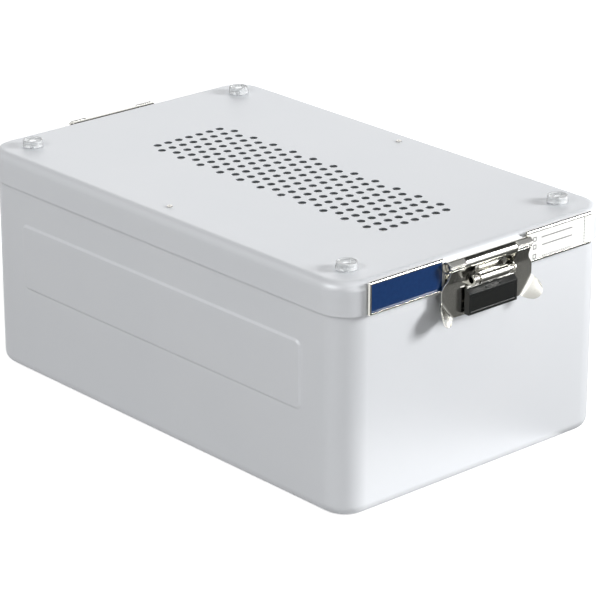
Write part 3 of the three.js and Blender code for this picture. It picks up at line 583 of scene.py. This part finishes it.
card_print.node_tree.links.new(printed.outputs[2], shader.inputs["Base Color"])

finish(insert(CARD_FRONT, 47.3, 126.5), "printed_card", "label_card", card_print, ["label_card"],
       wall=CARD_FRONT - CARD_BACK, edge=0.1)

# Hinge brackets
# Both ends of the lid have the same latch, which hangs on a plate of 1.2 mm stainless sheet.
# The plate is riveted to the skirt, and its upper edge is rolled round the hinge pin.

HINGE_OUT = 240.3
HINGE_UP = 192.3
# A latch is drawn on its hinge pin, with X away from the container and Z up, then moved to its end.
# The rear one is turned half a turn about the vertical.
ENDS = {
    "front": Matrix.Translation((HINGE_OUT, 0, HINGE_UP)),
    "rear": Matrix.Translation((-HINGE_OUT, 0, HINGE_UP)) @ Matrix.Rotation(math.pi, 4, "Z"),
}
LATCH_SHEET = 1.2
ROLL = 4.4
ROLL_TURN = 335
MIDDLE_ROLL = 28.7
# Half outlines of sheets, as (distance from the latch's middle, height).
BRACKET_HALF = [(0, -18.5), (44, -18.5), (44, -6), (MIDDLE_ROLL, -6), (MIDDLE_ROLL, 0), (0, 0)]


def corner_face(bm, corners):
    """A flat face from its corners."""
    return bm.faces.new([bm.verts.new(corner) for corner in corners])


def soften(bm, corners, radius, segments=4):
    """Rounds the corners of a flat sheet in its own plane."""
    bmesh.ops.bevel(
        bm, geom=corners, offset=radius, segments=segments, profile=0.5, affect="VERTICES", material=-1)


def mirrored(bm):
    """Adds the other half of a sheet of which one half was drawn."""
    bmesh.ops.mirror(bm, geom=bm.verts[:] + bm.edges[:] + bm.faces[:], merge_dist=0.001, axis="Y")


def curl(bm, start, y0, y1, middle, turn):
    """Rolls a strip of sheet round a pin, from a point of its section, by an angle in degrees."""
    ends = [bm.verts.new((start[0], y, start[1])) for y in (y0, y1)]
    line = bm.edges.new(ends)
    bmesh.ops.spin(
        bm, geom=[*ends, line], cent=(middle[0], 0, middle[1]), axis=(0, 1, 0), angle=math.radians(turn),
        steps=26)


def placed(bm, end):
    """Moves a mesh from the latch's own frame to its end of the container."""
    bmesh.ops.transform(bm, matrix=ENDS[end], verts=bm.verts)
    return bm


for end in ENDS:
    bm = bmesh.new()
    corner_face(bm, [(-ROLL, y, w) for y, w in BRACKET_HALF])
    soften(bm, [v for v in bm.verts if v.co.y > 40 and v.co.z < -10], 4)
    soften(bm, [v for v in bm.verts if v.co.y > 40 and v.co.z > -10], 2)
    mirrored(bm)
    curl(bm, (-ROLL, 0), -MIDDLE_ROLL, MIDDLE_ROLL, (0, 0), ROLL_TURN)
    bmesh.ops.remove_doubles(bm, verts=bm.verts, dist=0.001)
    bmesh.ops.recalc_face_normals(bm, faces=bm.faces)
    finish(placed(bm, end), f"{end}_bracket", "lid", polished, [f"{end}_hinge_bracket"],
           wall=LATCH_SHEET, side=0, edge=0.15)

# Hinge pins
# A drawn stainless rod with broken ends runs through the bracket's roll and the flap's two rolls.
# The bracket's roll grips it, and the flap turns on it.

PIN = 3.5
PIN_END = 43.5
ALONG_Y = Matrix.Rotation(-math.pi / 2, 4, "X")

# Bright-drawn stainless wire and rod: smooth and bright, with fine lines along its length.
# The real lines are 0.05 mm apart. They are drawn about 1.4 mm apart.
drawn_steel, shader = surface("bright_drawn_stainless_steel", "C4C2BD", 0.18, 1.0)
place = add(drawn_steel, "ShaderNodeTexCoord")
stretched = add(drawn_steel, "ShaderNodeMapping", {
    "Vector": place.outputs["Object"], "Scale": (700.0, 20.0, 700.0)})
drawing = add(drawn_steel, "ShaderNodeTexNoise", {
    "Vector": stretched.outputs["Vector"], "Scale": 1.0, "Detail": 2.0})
sheen = add(drawn_steel, "ShaderNodeMapRange", {"Value": drawing.outputs["Fac"], "To Min": 0.12, "To Max": 0.26})
drawn_steel.node_tree.links.new(sheen.outputs["Result"], shader.inputs["Roughness"])


def rod(bm, radius, y0, y1, u, w, chamfer):
    """A pin along Y with broken ends."""
    turned(bm, [
        (0, y0), (radius - chamfer, y0), (radius, y0 + chamfer), (radius, y1 - chamfer),
        (radius - chamfer, y1), (0, y1)], 28, Matrix.Translation((u, 0, w)) @ ALONG_Y)


for end in ENDS:
    bm = bmesh.new()
    rod(bm, PIN, -PIN_END, PIN_END, 0, 0, 0.4)
    finish(placed(bm, end), f"{end}_hinge_rod", "lid", drawn_steel, [f"{end}_hinge_pin"])

# Bracket rivets
# Two stainless rivets hold each bracket to the lid's skirt, beside the flap's necks.
# Their domed heads are outside, and the shanks end in the skirt, where the gasket leaves no room.

BRACKET_RIVETS = (("left", -38), ("right", 38))
BRACKET_RIVET_DROP = -12
ALONG_X = Matrix.Rotation(math.pi / 2, 4, "Y")


def rivet_head(bm, seat, inside, y, w, inner):
    """A rivet along X: domed head outside, shank through the sheet, and an inner head if there is one."""
    outline = [
        (0, seat + 1.1), (1.3, seat + 1.05), (2.3, seat + 0.75), (2.85, seat + 0.3), (3, seat), (1.5, seat),
        (1.5, inside)]
    if inner:
        outline += [(3, inside), (3, inside - 0.8), (2.6, inside - 1.1), (0, inside - 1.1)]
    else:
        outline += [(0, inside)]
    turned(bm, outline, 28, Matrix.Translation((0, y, w)) @ ALONG_X)


for end in ENDS:
    for side, y in BRACKET_RIVETS:
        bm = bmesh.new()
        rivet_head(bm, -3.5, -7.3, y, BRACKET_RIVET_DROP, False)
        finish(placed(bm, end), f"{end}_bracket_pin_{side}", "lid", drawn_steel,
               [f"{end}_bracket_rivet_{side}"])

# Latch flaps
# The flap is one stainless sheet whose two outer rolls turn on the hinge pin, beside the bracket's roll.
# It has a window for the lock and a notch below it, and a finger ear is bent out at each lower corner.

ROLL_END = 46
NECK = 29
FLAP = -0.7
BEND_DROP = 15
EAR_TOP = (50.5, -27.5)
EAR_FOOT = (37, -44)
FLAP_HALF = [
    (0, -21), (22, -21), (22, -16.5), (NECK, -14), (NECK, 0), (44.5, 0), (44.5, -10.5), (50.5, -17.5),
    EAR_TOP, EAR_FOOT, (7, -44), (7, -25), (0, -25)]
EAR_HALF = 10
EAR_REACH = 17
EAR_OVERLAP = 0.6
EAR_BEND = 4
EAR_TURN = math.radians(38)
EAR_FLARE = 0.9

for end in ENDS:
    bm = bmesh.new()
    corner_face(bm, [(FLAP, y, w) for y, w in FLAP_HALF])
    # The corners of the shoulder, then of the window, then of the wing and the notch.
    soften(bm, [v for v in bm.verts if v.co.y > 40 and -25 < v.co.z < -5], 3)
    soften(bm, [v for v in bm.verts if 5 < v.co.y < 30 and -23 < v.co.z < -5], 1)
    soften(bm, [v for v in bm.verts if v.co.y > 5 and v.co.z < -24], 1.2)
    # The sheet leans out above the bend, from the flap's plane to the rolls.
    bmesh.ops.bisect_plane(
        bm, geom=bm.verts[:] + bm.edges[:] + bm.faces[:], dist=0.001, plane_co=(0, 0, -BEND_DROP),
        plane_no=(0, 0, 1))
    for vert in bm.verts:
        if vert.co.z > -BEND_DROP:
            vert.co.x += (ROLL - FLAP) * (vert.co.z + BEND_DROP) / BEND_DROP
    mirrored(bm)
    bmesh.ops.remove_doubles(bm, verts=bm.verts, dist=0.001)
    for side in (-1, 1):
        curl(bm, (ROLL, 0), *sorted((side * NECK, side * ROLL_END)), (0, 0), -ROLL_TURN)
        # The ear starts on the wing's slanting edge and bends out over its first 4 mm.
        upper = Vector((FLAP, side * EAR_TOP[0], EAR_TOP[1]))
        lower = Vector((FLAP, side * EAR_FOOT[0], EAR_FOOT[1]))
        along = (lower - upper).normalized()
        away = Vector((0, -side * along.z, side * along.y))
        patch = bmesh.ops.create_grid(bm, x_segments=10, y_segments=12, size=1)["verts"]
        for vert in patch:
            s, t = vert.co.x, (vert.co.y + 1) / 2
            reach = EAR_REACH * t * math.sqrt(1 - s * s / 2)
            turn = EAR_TURN * min(reach / EAR_BEND, 1)
            over = max(reach - EAR_BEND, 0)
            flat = EAR_BEND * (math.sin(turn) / EAR_TURN) + over * math.cos(turn) - EAR_OVERLAP
            out = EAR_BEND * (1 - math.cos(turn)) / EAR_TURN + over * math.sin(turn) + EAR_FLARE * t * s * s
            on_edge = (upper + lower) / 2 + along * EAR_HALF * s * math.sqrt(1 - t * t / 2)
            vert.co = on_edge + away * flat + Vector((out, 0, 0))
    bmesh.ops.recalc_face_normals(bm, faces=bm.faces)
    finish(placed(bm, end), f"{end}_flap", f"{end}_flap", polished, [f"{end}_latch_flap"],
           wall=LATCH_SHEET, side=0, edge=0.15)

# Stop tabs
# A ground strip of the same sheet is welded along each outer roll of the flap.
# It stops the flap at the end of its swing.

TAB_NEAR = 29.2
TAB_FAR = 45.8
TAB_UPPER = (2.33, 4.96)
TAB_LOWER = (5.9, 1.97)

for end in ENDS:
    bm = bmesh.new()
    for side in (-1, 1):
        corner_face(bm, [(u, side * y, w) for y, (u, w) in (
            (TAB_NEAR, TAB_UPPER), (TAB_NEAR, TAB_LOWER), (TAB_FAR, TAB_LOWER), (TAB_FAR, TAB_UPPER))])
    bmesh.ops.recalc_face_normals(bm, faces=bm.faces)
    finish(placed(bm, end), f"{end}_stop_tabs", f"{end}_flap", ground_steel, [],
           wall=LATCH_SHEET, side=0, edge=0.2)

# Lugs
# Two lugs of the same sheet, rounded at their outer end, hold the lock pin.
# They are welded to the flap beside its window.

LUG_SIDE = 22.6
LUG_ROUND = 4.59
LUG_OUTLINE = [(-1.1, -18.7), (9.6, -18.7), (9.6, -9.5), (-1.1, -9.5)]

for end in ENDS:
    bm = bmesh.new()
    for side in (-1, 1):
        lug = corner_face(bm, [(u, side * LUG_SIDE, w) for u, w in LUG_OUTLINE])
        soften(bm, [v for v in lug.verts if v.co.x > 9], LUG_ROUND, 10)
    bmesh.ops.recalc_face_normals(bm, faces=bm.faces)
    finish(placed(bm, end), f"{end}_lugs", f"{end}_flap", polished, [],
           wall=LATCH_SHEET, side=0, edge=0.2)

# Lock pins
# A drawn stainless rod with broken ends is pressed into the two lugs.
# The lock turns on it.

LOCK_OUT = 5
LOCK_DROP = 14.1
LOCK_PIN = 3.1
LOCK_PIN_END = 23.2

for end in ENDS:
    bm = bmesh.new()
    rod(bm, LOCK_PIN, -LOCK_PIN_END, LOCK_PIN_END, LOCK_OUT, -LOCK_DROP, 0.3)
    finish(placed(bm, end), f"{end}_lock_rod", f"{end}_flap", drawn_steel, [f"{end}_lock_pin"])

# Lock springs
# Three turns of drawn stainless wire round the lock pin press the lock shut.
# The wire's upper leg rests on the flap, and its lower leg on the lever.

WIRE = 0.4
COIL = 3.95
COIL_START = -21.3
COIL_LENGTH = 3.75
COIL_TURNS = 3
COIL_STEPS = 60
UPPER_LEG = 5
LOWER_LEG = -4.2

for end in ENDS:
    bm = bmesh.new()
    ring = bmesh.ops.create_circle(
        bm, cap_ends=False, segments=8, radius=WIRE, matrix=Matrix.Translation((-COIL, 0, 0)))["verts"]
    first = list({e for v in ring for e in v.link_edges})
    coil = bmesh.ops.spin(
        bm, geom=ring + first, cent=(0, 0, 0), axis=(0, 1, 0), dvec=(0, COIL_LENGTH / COIL_STEPS, 0),
        angle=COIL_TURNS * 2 * math.pi, steps=COIL_STEPS)["geom_last"]
    last = [e for e in coil if isinstance(e, bmesh.types.BMEdge)]
    for edges, length in ((first, UPPER_LEG), (last, LOWER_LEG)):
        leg = bmesh.ops.extrude_edge_only(bm, edges=edges)["geom"]
        bmesh.ops.translate(bm, vec=(0, 0, length), verts=points(leg))
    bmesh.ops.holes_fill(bm, edges=bm.edges, sides=8)
    bmesh.ops.translate(bm, vec=(LOCK_OUT, COIL_START, -LOCK_DROP), verts=bm.verts)
    bmesh.ops.recalc_face_normals(bm, faces=bm.faces)
    finish(placed(bm, end), f"{end}_lock_coil", f"{end}_flap", drawn_steel,
           [f"{end}_lock_spring"])

# Lock levers
# The lever is a stainless sheet that hangs from the lock pin by its rolled upper edge.
# A notch in its lower edge lets the staple in.

CURL = 4
CURL_END = 15.5
CURL_TURN = 325
LEVER_HALF = [
    (0, -LOCK_DROP), (CURL_END, -LOCK_DROP), (CURL_END, -19.4), (24, -19.4), (24, -41.6), (7, -41.6), (7, -25),
    (0, -25)]

for end in ENDS:
    bm = bmesh.new()
    corner_face(bm, [(LOCK_OUT - CURL, y, w) for y, w in LEVER_HALF])
    soften(bm, [v for v in bm.verts if v.co.y > 20 and v.co.z < -40], 2)
    mirrored(bm)
    curl(bm, (LOCK_OUT - CURL, -LOCK_DROP), -CURL_END, CURL_END, (LOCK_OUT, -LOCK_DROP), CURL_TURN)
    bmesh.ops.remove_doubles(bm, verts=bm.verts, dist=0.001)
    bmesh.ops.recalc_face_normals(bm, faces=bm.faces)
    finish(placed(bm, end), f"{end}_lever", f"{end}_lock", polished, [f"{end}_lock_lever"],
           wall=LATCH_SHEET, side=0, edge=0.15)

# Lock blocks
# The block is a moulded cup of black plastic over the lever, with a sloped shoulder and a framed front.
# The staple enters by a mouth in its floor, and two walls inside guide the bolt.

BLOCK_HALF = 27
BLOCK_FOOT = -42.6
BLOCK_SECTION = [(1.7, BLOCK_FOOT), (7.1, BLOCK_FOOT), (7.1, -24.8), (3.2, -21.1), (1.7, -21.1)]
BLOCK_WALL = 0.9
FRAME_BORDER = 2.2
FRAME_STEP = 0.3
MOUTH_HALF = 7
MOUTH_DEPTH = 6.2
GUIDE_SIDE = 7.9
GUIDE_OUTLINE = [(2, -41.9), (6.3, -41.9), (6.3, -23), (2, -23)]
GUIDE_BORE = 1.5
BOLT_OUT = 3.5
BOLT_DROP = -33

# Moulded black plastic: deep grey-black with a fine spark-eroded texture and a dull shine.
# The real texture is 0.1 mm. It is drawn at about 1 mm.
black, shader = surface("moulded_black_plastic", "080A09", 0.32)
place = add(black, "ShaderNodeTexCoord")
spark = add(black, "ShaderNodeTexNoise", {"Vector": place.outputs["Object"], "Scale": 1100.0, "Detail": 2.0})
tint = add(black, "ShaderNodeMix", {
    "Factor": spark.outputs["Fac"], "A": linear("060807"), "B": linear("0B0E0D")}, data_type="RGBA")
sheen = add(black, "ShaderNodeMapRange", {"Value": spark.outputs["Fac"], "To Min": 0.27, "To Max": 0.36})
relief = add(black, "ShaderNodeBump", {"Height": spark.outputs["Fac"], "Strength": 0.2, "Distance": 0.0002})
black.node_tree.links.new(tint.outputs[2], shader.inputs["Base Color"])
black.node_tree.links.new(sheen.outputs["Result"], shader.inputs["Roughness"])
black.node_tree.links.new(relief.outputs["Normal"], shader.inputs["Normal"])


def split(bm, face, point, normal):
    """Cuts a flat face in two along a plane."""
    bmesh.ops.bisect_plane(
        bm, geom=[face, *face.edges, *face.verts], dist=0.001, plane_co=point, plane_no=normal)


def floor_faces(bm):
    """The faces that make up the block's floor."""
    return [f for f in bm.faces if f.calc_center_median().z < BLOCK_FOOT + 0.6]


for end in ENDS:
    bm = bmesh.new()
    cheek = corner_face(bm, [(u, -BLOCK_HALF, w) for u, w in BLOCK_SECTION])
    swept = bmesh.ops.extrude_face_region(bm, geom=[cheek])["geom"]
    bmesh.ops.translate(bm, vec=(0, 2 * BLOCK_HALF, 0), verts=points(swept))
    bmesh.ops.recalc_face_normals(bm, faces=bm.faces)
    back = min(bm.faces, key=lambda f: f.calc_center_median().x)
    bmesh.ops.delete(bm, geom=[back], context="FACES_ONLY")
    front_face = max(bm.faces, key=lambda f: f.calc_center_median().x)
    bmesh.ops.inset_region(bm, faces=[front_face], thickness=FRAME_BORDER, use_even_offset=True)
    bmesh.ops.inset_region(
        bm, faces=[front_face], thickness=FRAME_STEP, depth=-FRAME_STEP, use_even_offset=True)
    # The mouth is cut out of the floor between two cuts across and one along.
    below = min(bm.faces, key=lambda f: f.calc_center_median().z)
    for y in (-MOUTH_HALF, MOUTH_HALF):
        split(bm, below, (0, y, 0), (0, 1, 0))
        below = min(floor_faces(bm), key=lambda f: abs(f.calc_center_median().y))
    split(bm, below, (MOUTH_DEPTH, 0, 0), (1, 0, 0))
    mouth = min(
        (f for f in floor_faces(bm) if abs(f.calc_center_median().y) < 1),
        key=lambda f: f.calc_center_median().x)
    bmesh.ops.delete(bm, geom=[mouth], context="FACES_ONLY")
    for y in (-GUIDE_SIDE, GUIDE_SIDE):
        guide = corner_face(bm, [(u, y, w) for u, w in GUIDE_OUTLINE])
        punch(bm, guide, [(Matrix.Translation((BOLT_OUT, y, BOLT_DROP)) @ ALONG_Y, GUIDE_BORE, 20)])
    finish(placed(bm, end), f"{end}_grip", f"{end}_lock", black, [f"{end}_lock_block"],
           wall=BLOCK_WALL, edge=0.6, steps=3)

# Lock bolts
# A short drawn stainless rod slides in the block's two inner walls and through the staple's eye.
# It is drawn at rest, clear of the staple.

BOLT = 1.2
BOLT_ENDS = (-25.5, -7.5)

for end in ENDS:
    bm = bmesh.new()
    rod(bm, BOLT, *BOLT_ENDS, BOLT_OUT, BOLT_DROP, 0.3)
    finish(placed(bm, end), f"{end}_bolt_rod", f"{end}_bolt", drawn_steel, [f"{end}_lock_bolt"])

# Catch plates
# Behind each lock block a 1.5 mm stainless plate with rounded corners lies on the pan.
# It is riveted on and carries the staple.

CATCH_OUT = -7.25
CATCH_DROP = -35.3
CATCH_LENGTH = 36
CATCH_HEIGHT = 22
CATCH_CORNER = 3
CATCH_SHEET = 1.5

for end in ENDS:
    bm = bmesh.new()
    at = Matrix.Translation((CATCH_OUT, 0, CATCH_DROP)) @ FACING_X
    rounded(bm, CATCH_LENGTH, CATCH_HEIGHT, CATCH_CORNER, 5, at)
    finish(placed(bm, end), f"{end}_catch_sheet", "base", polished, [f"{end}_catch_plate"],
           wall=CATCH_SHEET, side=0, edge=0.2)

# Catch staples
# The staple is an 8 mm wide stainless bar that stands out of the catch plate, with a rounded nose.
# It is welded to the plate, and the bolt goes through its drilled eye.

STAPLE_OUTLINE = [(-6.2, -37.5), (5.9, -37.5), (5.9, -29), (-6.2, -29)]
STAPLE_NOSE = 2.3
STAPLE_WIDTH = 8
STAPLE_EYE = 1.7

for end in ENDS:
    bm = bmesh.new()
    bar = corner_face(bm, [(u, 0, w) for u, w in STAPLE_OUTLINE])
    soften(bm, [v for v in bar.verts if v.co.x > 5], STAPLE_NOSE, 6)
    punch(bm, bm.faces[:][0], [(Matrix.Translation((BOLT_OUT, 0, BOLT_DROP)) @ ALONG_Y, STAPLE_EYE, 24)])
    bmesh.ops.recalc_face_normals(bm, faces=bm.faces)
    finish(placed(bm, end), f"{end}_catch_eye", "base", polished, [f"{end}_catch_staple"],
           wall=STAPLE_WIDTH, side=0, edge=0.2)

# Catch rivets
# Two aluminium rivets hold each catch plate to the pan, one on each side of the staple.
# Their domed heads are outside, and a flat head is pressed up inside the pan.

CATCH_RIVETS = (("left", -13), ("right", 13))

for end in ENDS:
    for side, y in CATCH_RIVETS:
        bm = bmesh.new()
        rivet_head(bm, -6.2, -10.6, y, CATCH_DROP, True)
        finish(placed(bm, end), f"{end}_catch_pin_{side}", "base", rivet_metal,
               [f"{end}_catch_rivet_{side}"])

# Studio
# A white floor and five soft lamps make the end and the top light, and the long side a little darker.
# The camera stands where the photograph's camera stood. Its sizes are in metres.

scene = bpy.context.scene
FLOOR_HALF = 8
# Each card has a name, a middle, a length, a width and a turn.
CARDS = (
    ("floor_card", (0.71, 0.42, 0.004), 1.14, 1.2, Matrix.Rotation(math.radians(41), 3, "Z")),
    ("ceiling_card", (0.1, 0.7, 1.0), 1.5, 0.8, Vector((0.1, 0.7, 0.9)).to_track_quat("Z", "Y").to_matrix()))
# Each lamp has a name, a place, a width, a height and a power in watts.
LAMPS = (
    ("front", (-0.1, -2.3, 1.8), 1.6, 1.2, 33),
    ("back", (-2.5, 2.3, 1.2), 3.0, 1.8, 14),
    ("right", (1.9, 1.9, 1.1), 0.8, 0.8, 90),
    ("front right", (2.7, -0.25, 0.45), 2.0, 1.4, 13),
    ("right wall", (2.6, 2.3, 0.5), 3.0, 1.0, 2))
LAMP_AIM = Vector((0, 0, 0.1))
CAMERA_PLACE = (1.7774, -1.5633, 1.0043)
CAMERA_AIM = Vector((0.00656, 0.00783, 0.08418))

floor_mesh = bmesh.new()
bmesh.ops.create_grid(floor_mesh, x_segments=1, y_segments=1, size=FLOOR_HALF)
mesh = bpy.data.meshes.new("floor")
floor_mesh.to_mesh(mesh)
floor_mesh.free()
floor = bpy.data.objects.new("floor", mesh)
scene.collection.objects.link(floor)
white, shader = surface("white_floor", "F4F4F4", 0.9)


def direct(tree_owner):
    """1 for a ray that comes straight from the camera, or by way of metal or clear plastic."""
    path = add(tree_owner, "ShaderNodeLightPath")
    metal = add(tree_owner, "ShaderNodeMath", {
        0: path.outputs["Is Camera Ray"], 1: path.outputs["Is Glossy Ray"]}, operation="MAXIMUM")
    return add(tree_owner, "ShaderNodeMath", {
        0: metal.outputs[0], 1: path.outputs["Is Transmission Ray"]}, operation="MAXIMUM").outputs[0]


# White paper floor: dull, and lit from within, so that it looks pure white to the camera and in the metal.
# To the container's dull faces it is a dark grey, which throws a fifth of the light back up at them.
glow = add(white, "ShaderNodeEmission", {"Color": linear("FFFFFF"), "Strength": 0.62})
both = add(white, "ShaderNodeAddShader", {0: shader.outputs[0], 1: glow.outputs[0]})
bounce = add(white, "ShaderNodeBsdfDiffuse", {"Color": linear("787878")})
mixed = add(white, "ShaderNodeMixShader", {"Fac": direct(white), 1: bounce.outputs[0], 2: both.outputs[0]})
white.node_tree.links.new(mixed.outputs[0], white.node_tree.nodes["Material Output"].inputs["Surface"])
mesh.materials.append(white)

# Two dark grey cards out of the camera's sight, one on the floor beside the end and one hung above.
# They give the polished steel its dark bands, as a photographer's cards do, and cast no shadow.
dull, shader = surface("dark_grey_card", "3C3C3A", 0.9)
for name, middle, length, width, facing in CARDS:
    card = bmesh.new()
    bmesh.ops.create_grid(card, x_segments=1, y_segments=1, size=0.5)
    bmesh.ops.scale(card, vec=(length, width, 1), verts=card.verts)
    bmesh.ops.rotate(card, cent=(0, 0, 0), matrix=facing, verts=card.verts)
    bmesh.ops.translate(card, vec=middle, verts=card.verts)
    mesh = bpy.data.meshes.new(name)
    card.to_mesh(mesh)
    card.free()
    mesh.materials.append(dull)
    grey_card = bpy.data.objects.new(name, mesh)
    scene.collection.objects.link(grey_card)
    grey_card.visible_camera = False
    grey_card.visible_diffuse = False
    grey_card.visible_shadow = False

for name, place, width, height, power in LAMPS:
    lamp = bpy.data.lights.new(name, "AREA")
    lamp.shape = "RECTANGLE"
    lamp.size = width
    lamp.size_y = height
    lamp.energy = power
    light = bpy.data.objects.new(name, lamp)
    light.location = place
    light.rotation_euler = (LAMP_AIM - Vector(place)).to_track_quat("-Z", "Y").to_euler()
    scene.collection.objects.link(light)

# The world is pure white to the camera and in the metal, and lights the dull faces only faintly.
world = bpy.data.worlds.new("studio")
world.use_nodes = True
scene.world = world
sky = world.node_tree.nodes["Background"]
sky.inputs["Color"].default_value = linear("FFFFFF")
sky.inputs["Strength"].default_value = 0.12
plain = add(world, "ShaderNodeBackground", {"Color": linear("FFFFFF"), "Strength": 1.0})
mixed = add(world, "ShaderNodeMixShader", {"Fac": direct(world), 1: sky.outputs[0], 2: plain.outputs[0]})
world.node_tree.links.new(mixed.outputs[0], world.node_tree.nodes["World Output"].inputs["Surface"])

scene.view_settings.view_transform = "Standard"

lens = bpy.data.cameras.new("camera")
lens.sensor_width = 36
lens.lens = 176.3
lens.clip_end = 50
camera = bpy.data.objects.new("camera", lens)
camera.location = CAMERA_PLACE
camera.rotation_euler = (CAMERA_AIM - camera.location).to_track_quat("-Z", "Y").to_euler()
scene.collection.objects.link(camera)
scene.camera = camera
